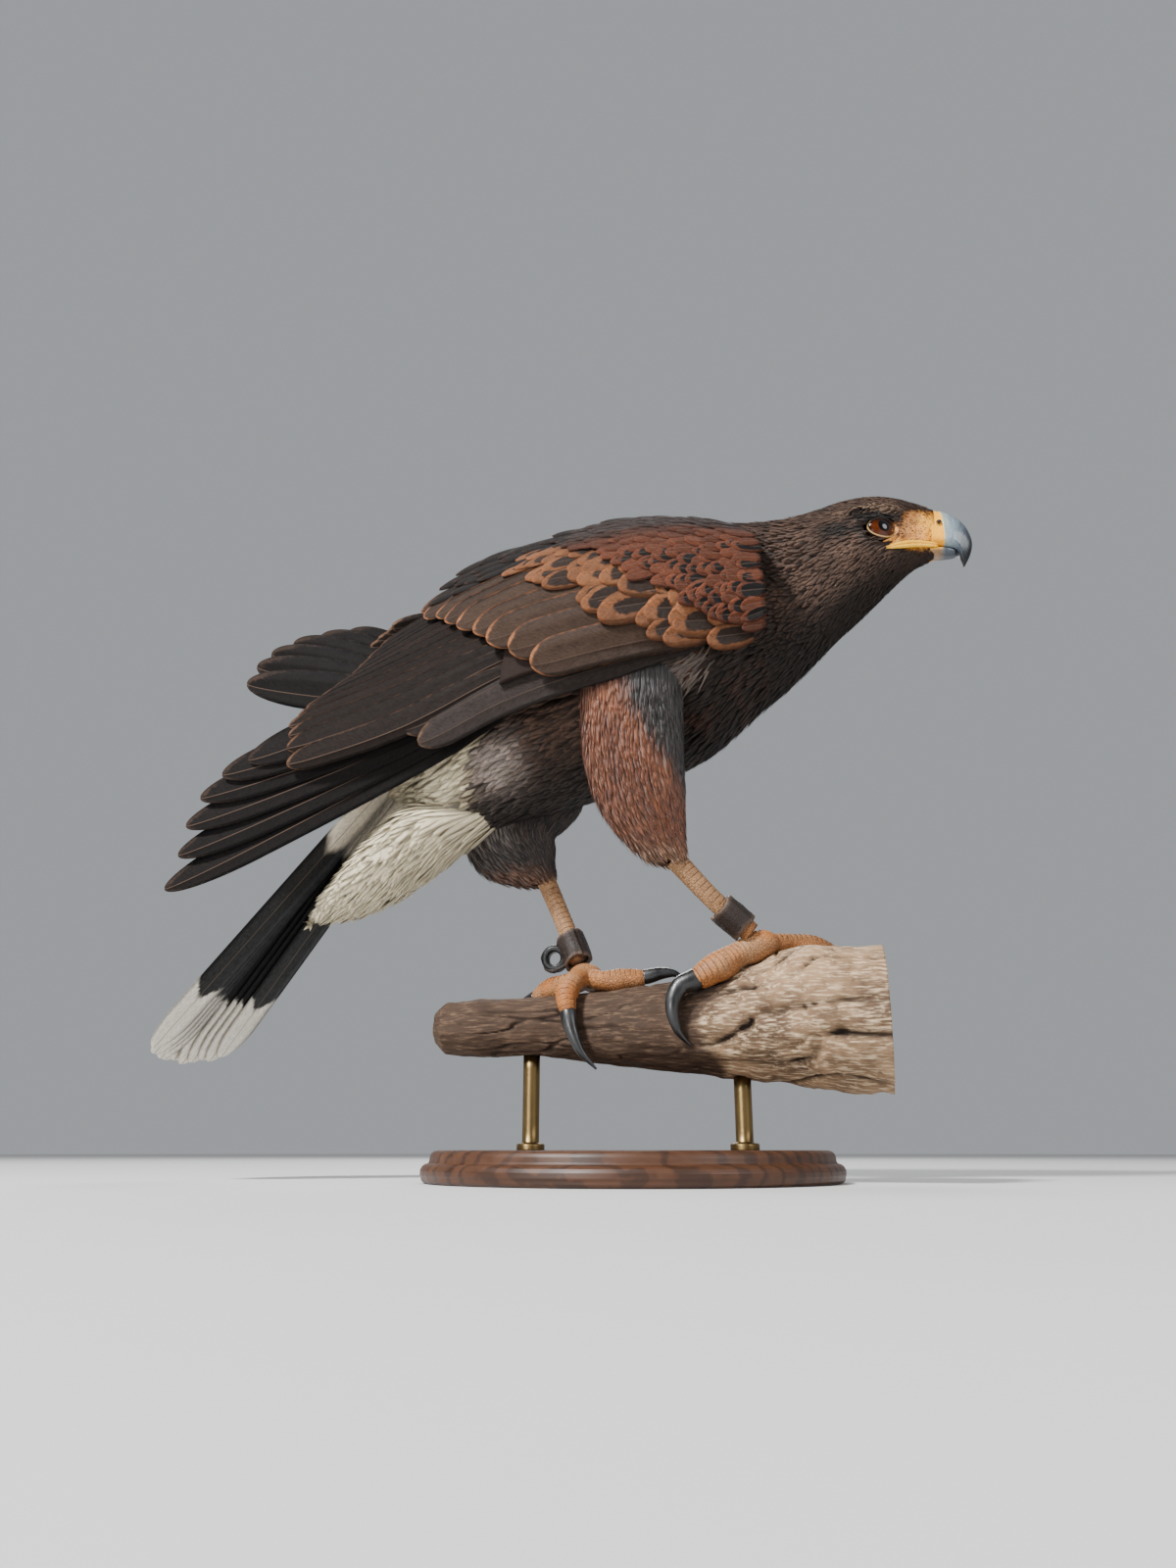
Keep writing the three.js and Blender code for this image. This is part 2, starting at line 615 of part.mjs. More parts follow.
const clearOfTail = join([
  ...tailPairs.flatMap((pair) => [tailVane(pair, RIGHT, GAP), tailVane(pair, LEFT, GAP)]),
  tailRootSolid(GAP),
]);
const thighRings = { rows: 9, around: 14 };
const thighRoom = { ...thighRings, grow: GAP * 1.5 };
const clearOfThighs = join(Object.values(legs).map(({ thigh }) => limb(thigh, thighRoom)));
const clearOfNeighbours = join([clearOfTorso, clearOfTail, clearOfThighs]);
const undertailMass = undertail.solid(0, undertailStations.length - 1, 7);
const undertailSolid = join([undertailMass, ...undertailRows.flatMap(undertailVanes)]);
addNode('undertail_coverts', undertailSolid.subtract(clearOfNeighbours), 'cream');

// Wings. A place on a wing is [s, t]: s from the front edge to the secondaries' tips, t from the
// lower edge up to the spine. Rows run from a first feather at the lower edge to a last at the top.

const wingRows = {
  secondaries: {
    count: 9, across: [0.04, 0.78], tipAcross: [0.02, 0.72], root: [0.56, 0.58], tip: [1, 1],
    lift: [-3.8, -3, -1], tilt: 9,
  },
  greater: {
    count: 8, across: [0.05, 0.78], tipAcross: [0.04, 0.76], root: [0.16, 0.42], tip: [0.45, 0.88],
    lift: [-4, 0.7, 2.6], tilt: 9,
  },
  median: {
    count: 7, across: [0.07, 0.76], tipAcross: [0.07, 0.76], root: [0.1, 0.34], tip: [0.3, 0.64],
    lift: [-4, 1.2, 5.6], tilt: 8,
  },
  lesser: {
    count: 6, across: [0.08, 0.74], tipAcross: [0.08, 0.75], root: [0.02, 0.16], tip: [0.18, 0.42],
    lift: [-4, 1.6, 6.2], tilt: 8,
  },
  scapulars: {
    count: 2, across: [0.87, 0.97], tipAcross: [0.87, 0.96], root: [0.14, 0.22], tip: [0.7, 0.82],
    lift: [-3, 2.4, 5], tilt: 8,
  },
};
const leftWingShare = 0.82; // the raised wing is drawn in, and shows fewer feathers in each row
const featherOverlap = 1.42; // width of a feather, over the distance to the next one
const pitchPlace = 0.7; // where along the feathers that distance is taken
const unevenTips = 0.008; // of the wing's length
const riseOfRows = 0.74; // spreads rows evenly over guide lines that lie closer near the lower edge
const wingCore = { from: 0, to: 0.52, low: 0.02, high: 0.99, thickness: 7, rim: 5, rows: 5, columns: 6 };
const quillBar = {
  from: 0.527, to: 0.62, low: 0.05, high: 0.86, thickness: 4.2, top: -1.9, rows: 1, columns: 6,
};

// Primaries lie under the secondaries: root on the wing and tip in space, lowest first
const primaries = {
  R: [
    [-240, -27, 143], [-233, -27.7, 160], [-229, -28.2, 175],
    [-221, -29, 189], [-208, -30.4, 200], [-192, -32, 206],
  ],
  L: [
    [-238, 36, 282], [-233, 36.4, 293], [-225, 37, 301],
    [-212, 37.9, 307], [-196, 39, 310], [-180, 40.1, 311],
  ],
};
const primaryRow = {
  root: 0.45, across: [0.04, 0.34], bend: 0.8, bendAcross: [-0.1, 0.28], depth: 12.4, step: 1.2, width: 20,
};
const hand = {
  from: 0.34, to: 0.5, low: 0, high: 0.42, top: -8, bottom: -16.4, rows: 3, columns: 3,
};

class Wing {
  constructor(guide, side, share) {
    Object.assign(this, { guide, side, share });
  }

  at(s, t) {
    return along(this.guide.map((line) => along(line, s).toArray()), t);
  }

  out(s, t) {
    const step = 0.02;
    const back = this.at(s + step, t).sub(this.at(s - step, t));
    const up = this.at(s, t + step).sub(this.at(s, t - step));
    return back.cross(up).multiplyScalar(this.side).normalize();
  }

  sheet({ from, to, low, high, rows, columns }, height) {
    return Array.from({ length: rows + 1 }, (_, i) => Array.from({ length: columns + 1 }, (__, j) => {
      const [s, t] = [mix(from, to, i / rows), mix(low, high, j / columns)];
      return this.at(s, t).addScaledVector(this.out(s, t), height(i / rows, j / columns));
    }));
  }

  featherRow({ count: most, across, tipAcross, root, tip, lift, tilt }, grow = 0) {
    const count = Math.round(most * this.share);
    const draw = seededDraw(featherSeed + most);
    const uneven = Array.from({ length: count }, () => draw() * unevenTips);
    const row = (k, u) => {
      const q = k / (count - 1);
      const s = mix(mix(root[0], root[1], q), mix(tip[0], tip[1], q) + uneven[k], u);
      const t = mix(mix(across[0], across[1], q), mix(tipAcross[0], tipAcross[1], q), u) ** riseOfRows;
      return [s, t];
    };
    return Array.from({ length: count }, (_, k) => {
      const next = k === 0 ? 1 : k - 1;
      const pitch = this.at(...row(k, pitchPlace)).distanceTo(this.at(...row(next, pitchPlace)));
      const place = (u) => ({ at: this.at(...row(k, u)), out: this.out(...row(k, u)) });
      const turned = (tilt / this.share) * this.side;
      return vane(place, { width: pitch * featherOverlap, lift, tilt: turned, grow });
    });
  }

  core(grow = 0) {
    const { thickness, rim } = wingCore;
    const arch = (i, j) => Math.sin(Math.PI * Math.min(Math.max(j, 0), 1)) * (1 - i ** 2);
    return slab(
      this.sheet(wingCore, (i, j) => grow - 1 + arch(i, j)),
      this.sheet(wingCore, (i, j) => -grow - rim - (thickness - rim) * arch(i, j)),
    );
  }

  quills() {
    const { thickness, top } = quillBar;
    return slab(this.sheet(quillBar, () => top), this.sheet(quillBar, () => top - thickness));
  }

  // The primaries fan out flat, each a step higher than the one below it
  primaryFeathers(tips, grow = 0) {
    const { root, across, bend, bendAcross, depth, step, width } = primaryRow;
    const last = tips.length - 1;
    const rootRow = across.map((t) => this.at(root, t));
    const bendRow = bendAcross.map((t) => this.at(bend, t));
    const tipRow = [vector(tips[0]), vector(tips[last])];
    const facing = (row, from, to) => {
      const run = to[0].clone().add(to[1]).sub(from[0]).sub(from[1]);
      return run.cross(row[1].clone().sub(row[0])).multiplyScalar(this.side).normalize();
    };
    const [rootOut, bendOut] = [facing(rootRow, rootRow, bendRow), facing(bendRow, rootRow, tipRow)];
    const outs = [rootOut, bendOut, facing(tipRow, bendRow, tipRow)];
    return tips.map((tipPlace, k) => {
      const layer = (k - last / 2) * step;
      const [start, middle] = [rootRow, bendRow].map(([low, high], i) => (
        low.clone().lerp(high, k / last).addScaledVector(outs[i], layer - depth)
      ));
      const end = vector(tipPlace).addScaledVector(outs[2], layer);
      const line = [start, middle, end].map((at) => at.toArray());
      const outline = outs.map((out) => out.toArray());
      const place = (u) => ({ at: along(line, u), out: along(outline, u).normalize() });
      return vane(place, { width, grow });
    });
  }

  handBone() {
    return slab(this.sheet(hand, () => hand.top), this.sheet(hand, () => hand.bottom));
  }
}

const wings = { R: new Wing(rightWingGuide, RIGHT, 1), L: new Wing(leftWingGuide, LEFT, leftWingShare) };
for (const [name, wing] of Object.entries(wings)) {
  const { secondaries, ...coverts } = wingRows;
  const clearOf = (others) => join([clearOfTorso, clearOfThighs, ...others]);
  const near = [wing.core(GAP), ...wing.featherRow(wingRows.greater, GAP)];
  const over = [...near, ...wing.featherRow(secondaries, GAP)];
  const covertVanes = Object.values(coverts).flatMap((row) => wing.featherRow(row));
  const quills = join([wing.quills(), ...wing.featherRow(secondaries)]);
  const fan = join([wing.handBone(), ...wing.primaryFeathers(primaries[name])]);
  addNode(`wing_${name}`, join([wing.core(), ...covertVanes]).subtract(clearOf([])), 'chestnut');
  addNode(`secondaries_${name}`, quills.subtract(clearOf(near)), 'flight');
  addNode(`primaries_${name}`, fan.subtract(clearOf(over)), 'flight');
}

// Perch

const branchDraw = seededDraw(branchSeed);
const branchWaves = Array.from({ length: 6 }, () => ({
  turns: 4 + Math.round(2 * branchDraw()),
  stretch: 0.03 + 0.02 * branchDraw(),
  phase: Math.PI * branchDraw(),
}));

// Middle height and radius of the wood at x, and its roughness at a turn about the branch
function branchAt(x, turn) {
  const first = branchStations[0][0];
  const last = branchStations[branchStations.length - 1][0];
  const k = THREE.MathUtils.clamp(x, first, last);
  const next = Math.max(1, branchStations.findIndex(([place]) => place >= k));
  const [x0, z0, r0] = branchStations[next - 1];
  const [x1, z1, r1] = branchStations[next];
  const u = (k - x0) / (x1 - x0);
  const turned = radians(turn);
  const wave = ({ turns, stretch, phase }) => Math.sin(turns * turned + stretch * x + phase);
  const waves = branchWaves.reduce((sum, each) => sum + wave(each), 0);
  const off = ((turn - burr.turn + 540) % 360) - 180;
  const swelling = burr.rise * Math.exp(-(((x - burr.x) / burr.length) ** 2) - (off / burr.spread) ** 2);
  return { z: mix(z0, z1, u), radius: mix(r0, r1, u) + (gnarl * waves) / 3 + swelling };
}

function onBranch(x, turn, rise) {
  const { z, radius } = branchAt(x, turn);
  const reach = radius + rise;
  return [x, Math.cos(radians(turn)) * reach, z + Math.sin(radians(turn)) * reach];
}

function branchSolid(grow) {
  const first = branchStations[0][0];
  const last = branchStations[branchStations.length - 1][0];
  return loft(Array.from({ length: branchRows + 1 }, (_, i) => {
    const x = mix(first, last, i / branchRows);
    const turns = Array.from({ length: branchAround }, (_, k) => (k / branchAround) * 360);
    return turns.map((turn) => vector(onBranch(x, turn, grow)));
  }));
}

const clearOfBranch = branchSolid(GAP);
addNode('perch_branch', branchSolid(0), 'bark');

// Legs, feet and claws

function toeSolid({ toe, claw, radius }, palm, grow = 0) {
  const { path, share } = digitPath({ toe, claw }, palm);
  const stations = path.map((at, k) => {
    const knuckle = 1 + 0.07 * Math.cos(k * Math.PI);
    return { at, wide: radius * knuckle, deep: radius * knuckle };
  });
  return limb(stations, { to: share, rows: 7, around: 7, grow });
}

function digitPath({ toe, claw }, palm) {
  const path = [palm, ...[...toe, ...claw].map((place) => onBranch(...place))];
  return { path, share: toe.length / (path.length - 1) + 0.03 };
}

function clawSolid({ toe, claw, radius }, palm) {
  const { path, share } = digitPath({ toe, claw }, palm);
  const start = share + GAP / 40;
  const stations = path.map((at, k) => {
    const u = THREE.MathUtils.clamp((k / (path.length - 1) - share) / (1 - share), 0, 1);
    const size = mix(radius * 0.62, 0.45, u ** 1.3);
    return { at, wide: size, deep: size * 1.15 };
  });
  return limb(stations, { from: start, rows: 7, around: 6 });
}

function palmBall(palm, grow = 0) {
  const ball = new THREE.SphereGeometry(1, 10, 7);
  return solidFromGeometry(ball.scale(...palmHalf.map((half) => half + grow)).translate(...palm));
}

for (const [name, leg] of Object.entries(legs)) {
  const thigh = limb(leg.thigh, thighRings);
  addNode(`thigh_${name}`, thigh.subtract(clearOfTorso), name === 'R' ? 'chestnut' : 'darkFeather');

  const foot = (grow) => {
    const toes = Object.values(digits[name]).map((digit) => toeSolid(digit, leg.palm, grow));
    return join([palmBall(leg.palm, grow), ...toes]);
  };
  const shaft = limb(tarsusStations(leg), { rows: 5, around: 10 });
  addNode(`tarsus_${name}`, shaft.subtract(foot(GAP)), 'legSkin');
  addNode(`foot_${name}`, foot(0).subtract(clearOfBranch), 'footSkin');
  for (const [digitName, digit] of Object.entries(digits[name])) {
    addNode(`claw_${name}_${digitName}`, clawSolid(digit, leg.palm).subtract(clearOfBranch), 'clawHorn');
  }
}

// Leather cuffs

function tarsusStations({ tarsus: { top, knee, foot } }) {
  return [top, knee, foot].map((at) => ({ at, ...tarsusHalf }));
}

function cuffPlace(leg) {
  const line = tarsusStations(leg).map(({ at }) => at);
  const centre = along(line, leg.anklet);
  const axis = along(line, leg.anklet + 0.02).sub(along(line, leg.anklet - 0.02)).normalize();
  return { centre, axis, behind: new THREE.Vector3(axis.z, 0, -axis.x).normalize() };
}

function ringSolid(profile, axis, centre) {
  const points = [...profile, profile[0]].map(([r, h]) => new THREE.Vector2(r, h));
  const ring = new THREE.LatheGeometry(points, 16).rotateX(Math.PI / 2);
  return solidFromGeometry(turnedTo(ring, axis, centre.toArray()));
}

function cuffRing(leg, grow = 0) {
  const { centre, axis } = cuffPlace(leg);
  const [inner, outer] = [anklet.bore - grow, anklet.bore + anklet.wall + grow];
  const half = anklet.height / 2 + grow;
  return ringSolid([[inner, -half], [outer, -half], [outer, half], [inner, half]], axis, centre);
}

const yAxis = new THREE.Vector3(0, 1, 0);
const leftCuff = cuffPlace(legs.L);
const eyeletCentre = leftCuff.centre.clone().addScaledVector(leftCuff.behind, eyelet.back);

function tabSolid() {
  const box = new THREE.BoxGeometry(tab.to - tab.from, tab.thickness, tab.height);
  const lean = Math.atan2(leftCuff.behind.z, -leftCuff.behind.x);
  const middle = leftCuff.centre.clone().addScaledVector(leftCuff.behind, (tab.to + tab.from) / 2);
  box.rotateY(lean).translate(...middle.toArray());
  const room = eyelet.barrel + GAP;
  const hole = new THREE.CylinderGeometry(room, room, tab.thickness * 3, 16);
  return solidFromGeometry(box).subtract(solidFromGeometry(hole.translate(...eyeletCentre.toArray())));
}

function eyeletSolid() {
  const { bore, barrel, flange, flangeThickness } = eyelet;
  const inner = tab.thickness / 2 + GAP;
  const outer = inner + flangeThickness;
  const profile = [
    [bore, -outer], [flange, -outer], [flange, -inner], [barrel, -inner],
    [barrel, inner], [flange, inner], [flange, outer], [bore, outer],
  ];
  return ringSolid(profile, yAxis, eyeletCentre);
}

addNode('anklet_R', cuffRing(legs.R).subtract(palmBall(legs.R.palm, GAP)), 'leather');
addNode('anklet_L', join([cuffRing(legs.L), tabSolid()]).subtract(palmBall(legs.L.palm, GAP)), 'leather');
addNode('eyelet_L', eyeletSolid().subtract(cuffRing(legs.L, GAP)), 'eyeletBlack');

// Stand

function baseSolid() {
  const { radius, thickness, edge } = base;
  const profile = [
    [0, 0], [radius, 0], [radius, thickness - edge], [radius - edge, thickness], [0, thickness],
  ];
  const disc = new THREE.LatheGeometry(profile.map(([r, h]) => new THREE.Vector2(r, h)), 40);
  return solidFromGeometry(disc.rotateX(Math.PI / 2));
}

function rodSolid(x) {
  const { z } = branchAt(x, 270);
  const bottom = base.thickness + GAP;
  const rod = new THREE.CylinderGeometry(rods.radius, rods.radius, z - bottom, 16).rotateX(Math.PI / 2);
  return solidFromGeometry(rod.translate(x, 0, (z + bottom) / 2)).subtract(clearOfBranch);
}

addNode('stand_base', baseSolid(), 'standWood');
addNode('stand_rod_front', rodSolid(rods.front), 'standRod');
addNode('stand_rod_rear', rodSolid(rods.rear), 'standRod');

export default hawk;
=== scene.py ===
import itertools

import bpy
import numpy as np
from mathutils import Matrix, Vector


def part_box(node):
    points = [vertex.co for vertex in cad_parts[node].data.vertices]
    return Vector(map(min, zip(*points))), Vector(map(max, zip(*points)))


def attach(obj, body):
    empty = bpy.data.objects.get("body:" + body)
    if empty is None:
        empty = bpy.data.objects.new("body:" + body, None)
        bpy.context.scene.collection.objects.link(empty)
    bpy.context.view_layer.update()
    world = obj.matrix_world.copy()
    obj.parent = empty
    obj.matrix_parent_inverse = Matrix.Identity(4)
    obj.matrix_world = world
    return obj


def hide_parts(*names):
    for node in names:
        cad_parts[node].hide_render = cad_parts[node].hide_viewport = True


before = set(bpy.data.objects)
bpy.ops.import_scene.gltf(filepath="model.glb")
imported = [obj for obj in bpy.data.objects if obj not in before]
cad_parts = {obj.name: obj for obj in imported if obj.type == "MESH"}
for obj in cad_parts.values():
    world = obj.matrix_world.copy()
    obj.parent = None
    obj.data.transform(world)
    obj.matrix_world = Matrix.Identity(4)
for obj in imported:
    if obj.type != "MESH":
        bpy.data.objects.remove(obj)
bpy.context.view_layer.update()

# Camera, floor and studio light. The hawk is seen from low down on its right side, as a mount on a
# high shelf is. Lengths in this file are millimetres, and become metres in the mesh.
camera_place = (0.09375, -0.53725, 0.014)
camera_aim = (-0.19774, 0.93027, 0.30902)
camera_lens = 25.875
floor_radius = 4000
floor_grey = (0.55, 0.55, 0.55, 1)
floor_warm_grey = (0.6, 0.595, 0.58, 1)
studio_grey = (0.72, 0.75, 0.79)
studio_strength = 0.5
lamps = {  # place in metres, width of the soft box in metres, watts
    "key": ((-0.75, -1.15, 1.35), 0.3, 72),
    "front": ((1.25, -0.75, 0.75), 0.7, 9),
    "back": ((-0.3, 1.25, 1.1), 0.8, 15),
    "low": ((-0.45, -1.1, 0.12), 0.5, 9.0),
}
lamp_target = Vector((0.0, 0.0, 0.2))


def faced_out(points, quads, triangles):
    """The faces of a closed shape, all turned over where the volume they enclose comes out negative."""
    points = points - points.mean(0)
    a, b, c, d = (points[quads[:, k]] for k in range(4))
    e, f, g = (points[triangles[:, k]] for k in range(3))
    volume = np.sum(a * (np.cross(b, c) + np.cross(c, d))) + np.sum(e * np.cross(f, g))
    return (quads, triangles) if volume >= 0 else (quads[:, ::-1], triangles[:, ::-1])


def set_values(mesh, values):
    """Writes one row of three or four numbers a point into a mesh, under each attribute's name."""
    for attribute, rows in values.items():
        rows = np.reshape(rows, (len(mesh.vertices), -1)).astype(np.float32)
        kind, field = ("FLOAT_COLOR", "color") if rows.shape[1] == 4 else ("FLOAT_VECTOR", "vector")
        mesh.attributes.new(attribute, kind, "POINT").data.foreach_set(field, rows.ravel())


def set_places(mesh, points):
    """Moves a mesh to points in millimetres."""
    mesh.vertices.foreach_set("co", np.ravel(points * 0.001).astype(np.float32))


def surface_mesh(name, points, quads, triangles=(), values=None, bake=None):
    """Puts whole arrays into a mesh: points in millimetres, faces as rows of point numbers, values as
    one row of numbers a point for each named attribute, and bake as a place a point."""
    mesh = bpy.data.meshes.new(name)
    points = np.reshape(points, (-1, 3))
    quads, triangles = (np.reshape(faces, (-1, n)).astype(int) for faces, n in ((quads, 4), (triangles, 3)))
    quads, triangles = faced_out(points, quads, triangles)
    corners = np.concatenate([quads.ravel(), triangles.ravel()]).astype(np.int32)
    sizes = np.repeat([4, 3], [len(quads), len(triangles)])
    mesh.vertices.add(len(points))
    set_places(mesh, points)
    mesh.loops.add(len(corners))
    mesh.loops.foreach_set("vertex_index", corners)
    mesh.polygons.add(len(sizes))
    mesh.polygons.foreach_set("loop_start", (np.cumsum(sizes) - sizes).astype(np.int32))
    mesh.update(calc_edges=True)
    mesh.polygons.foreach_set("use_smooth", np.ones(len(sizes), bool))
    set_values(mesh, values or {})
    if bake is not None:
        flat = np.reshape(bake, (len(points), 2))[corners].astype(np.float32)
        mesh.uv_layers.new(name="OFBake").data.foreach_set("uv", flat.ravel())
    return mesh


def show(mesh, finish):
    """The object of a finished mesh, at the origin and unturned."""
    mesh.materials.append(finish.material)
    made = bpy.data.objects.new(mesh.name, mesh)
    bpy.context.scene.collection.objects.link(made)
    return made


def once_round(count):
    """Equal steps of one whole turn, in radians."""
    return np.radians(np.arange(count) * 360 / count)


class Signal:
    """The output of a shader node, written in sums as a number is."""

    def __init__(self, finish, socket):
        self.finish, self.socket = finish, socket

    def sum(self, operation, first, second):
        return self.finish.node("ShaderNodeMath", {"operation": operation}, {0: first, 1: second})

    def __add__(self, other):
        return self.sum("ADD", self, other)

    def __sub__(self, other):
        return self.sum("SUBTRACT", self, other)

    def __rsub__(self, other):
        return self.sum("SUBTRACT", other, self)

    def __mul__(self, other):
        return self.sum("MULTIPLY", self, other)

    def __abs__(self):
        return self.sum("ABSOLUTE", self, 0)

    __radd__ = __add__
    __rmul__ = __mul__


class Finish:
    """One material: its node tree, and the plain values of its Principled shader."""

    def __init__(self, name, **plain):
        self.material = bpy.data.materials.new(name)
        self.material.use_nodes = True
        self.tree = self.material.node_tree
        self.shader = self.tree.nodes["Principled BSDF"]
        for socket, value in plain.items():
            self.shader.inputs[socket.replace("_", " ")].default_value = value

    def node(self, kind, settings, inputs, output=0):
        """A node of that kind: its settings or a ramp's stops first, then the values, colour codes or
        links of its sockets."""
        made = self.tree.nodes.new(kind)
        for setting, value in settings.items():
            if setting == "stops":
                for k, (place, code) in enumerate(value):
                    stop = made.color_ramp.elements[k] if k < 2 else made.color_ramp.elements.new(place)
                    stop.position, stop.color = place, colour(code)
            else:
                setattr(made, setting, value)
        for socket, value in inputs.items():
            if isinstance(value, Signal):
                self.tree.links.new(value.socket, made.inputs[socket])
            else:
                made.inputs[socket].default_value = colour(value) if isinstance(value, str) else value
        return Signal(self, made.outputs[output])

    def wave(self, value):
        return self.node("ShaderNodeMath", {"operation": "SINE"}, {0: value})

    def feed(self, **links):
        """Links varying signals to the shader's sockets."""
        for socket, value in links.items():
            self.tree.links.new(value.socket, self.shader.inputs[socket.replace("_", " ")])

    def place(self):
        return self.node("ShaderNodeTexCoord", {}, {}, "Object")

    def attribute(self, name, output="Color"):
        return self.node("ShaderNodeAttribute", {"attribute_name": name}, {}, output)

    def stretched(self, vector, scale):
        return self.node("ShaderNodeVectorMath", {"operation": "MULTIPLY"}, {0: vector, 1: scale})

    def axis(self, vector, output):
        return self.node("ShaderNodeSeparateXYZ", {}, {0: vector}, output)

    def cloud(self, vector, scale, detail=3.0, roughness=0.55):
        inputs = {"Vector": vector, "Scale": scale, "Detail": detail, "Roughness": roughness}
        return self.node("ShaderNodeTexNoise", {}, inputs)

    def between(self, value, low, high, start=0.0, end=1.0):
        """Start below low, end above high, and an eased step between them."""
        inputs = {0: value, 1: low, 2: high, 3: start, 4: end}
        return self.node("ShaderNodeMapRange", {"interpolation_type": "SMOOTHSTEP"}, inputs)

    def blend(self, share, first, second, kind="MIX"):
        settings = {"data_type": "RGBA", "blend_type": kind, "clamp_factor": True}
        return self.node("ShaderNodeMix", settings, {0: share, 6: first, 7: second}, 2)

    def glaze(self, tone, value, low, high, share, tint, kind="MIX"):
        """A tint laid over a tone, up to that share, where the value rises from low to high."""
        return self.blend(self.between(value, low, high, 0.0, share), tone, tint, kind)

    def bump(self, height, distance, strength=1.0):
        inputs = {"Height": height, "Distance": distance, "Strength": strength}
        self.feed(Normal=self.node("ShaderNodeBump", {}, inputs))


def pigment(code):
    """A hex colour as the eye sees it, turned into the linear light that shaders reckon in."""
    seen = np.array([int(code[k:k + 2], 16) for k in (1, 3, 5)]) / 255
    return np.where(seen < 0.04045, seen / 12.92, ((seen + 0.055) / 1.055) ** 2.4)


def colour(code):
    """The same with its opacity, 1."""
    return (*pigment(code), 1.0)


camera_data = bpy.data.cameras.new("camera")
camera_data.lens = camera_lens
camera_data.clip_start = 0.005
camera = bpy.data.objects.new("camera", camera_data)
camera.location = camera_place
camera.rotation_euler = Vector(camera_aim).to_track_quat("-Z", "Y").to_euler()
bpy.context.scene.collection.objects.link(camera)
bpy.context.scene.camera = camera

for lamp_name, (lamp_place, lamp_width, lamp_watts) in lamps.items():
    lamp_data = bpy.data.lights.new(f"{lamp_name}_light", "AREA")
    lamp_data.shape, lamp_data.size, lamp_data.energy = "DISK", lamp_width, lamp_watts
    lamp = bpy.data.objects.new(f"{lamp_name}_light", lamp_data)
    lamp.location = lamp_place
    lamp.rotation_euler = (lamp_target - Vector(lamp_place)).to_track_quat("-Z", "Y").to_euler()
    bpy.context.scene.collection.objects.link(lamp)

studio = bpy.data.worlds.new("studio")
studio.use_nodes = True
studio.node_tree.nodes["Background"].inputs[0].default_value = (*studio_grey, 1)
studio.node_tree.nodes["Background"].inputs[1].default_value = studio_strength
bpy.context.scene.world = studio

floor_ring = np.stack([np.cos(once_round(64)), np.sin(once_round(64)), np.zeros(64)], -1)
floor_points = np.concatenate([floor_ring * floor_radius, np.zeros((1, 3))])
floor_fan = np.stack([np.arange(64), (np.arange(64) + 1) % 64, np.full(64, 64)], -1)
paper = Finish("floor_paper", Roughness=0.9)
paper.feed(Base_Color=paper.blend(paper.cloud(paper.place(), 3.0), floor_grey, floor_warm_grey))
floor = show(surface_mesh("floor", floor_points, (), floor_fan), paper)


# Stand. A round base turned from dark stained hardwood, with a small step and a rounded edge,
# and two brushed brass rods that are let into it and run up into the underside of the branch.
base_moulding = [
    (0, 0), (93, 0), (94.6, 0.5), (95.4, 1.4), (95.6, 2.6), (96, 3.6), (96, 5.6), (95.2, 7.2), (94, 8.1),
    (92.6, 8.5), (92.1, 9.2), (91.8, 11.4), (91.2, 12.7), (90, 13.6), (88.4, 14), (0, 14)]
rod_places = {"stand_rod_front": 52, "stand_rod_rear": -48}
rod_radius = 4
collar_radius = 6.6


def fit(mesh, finish, slot, *stands_for):
    """Shows a piece of the object, rides it on the one body, and hides the solids it stands for."""
    piece = show(mesh, finish)
    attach(piece, "root")
    if stands_for:
        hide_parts(*stands_for)


def shell(grid):
    """A closed skin over rings of points: each ring is joined to the next by quads, the end rings are
    closed by fans to their middles."""
    rows, around = grid.shape[:2]
    number = np.arange(rows * around).reshape(rows, around)
    ahead = np.roll(number, -1, axis=1)
    quads = np.stack([number[:-1], ahead[:-1], ahead[1:], number[1:]], -1).reshape(-1, 4)
    start, end = (np.full(around, rows * around + k) for k in (0, 1))
    fans = np.concatenate([
        np.stack([ahead[0], number[0], start], -1), np.stack([number[-1], ahead[-1], end], -1),
    ])
    points = np.concatenate([grid.reshape(-1, 3), [grid[0].mean(0), grid[-1].mean(0)]])
    return points, *faced_out(points, quads, fans)


def turned_rings(profile, around, middle=(0, 0)):
    """A profile of radius and height carried once round the upright axis, as rings of points."""
    radius, height = np.array(profile, float).T
    angle = once_round(around)
    across = np.maximum(radius, 0.01)[:, None]
    return np.stack([
        middle[0] + across * np.cos(angle), middle[1] + across * np.sin(angle),
        np.broadcast_to(height[:, None], (len(radius), around)),
    ], -1)


def rounded(profile, steps=5):
    """The profile with each straight run divided, so that its corners stay where they are."""
    profile = np.array(profile, float)
    share = np.arange(steps)[:, None] / steps
    runs = profile[:-1, None] * (1 - share) + profile[1:, None] * share
    return np.concatenate([runs.reshape(-1, 2), profile[-1:]])


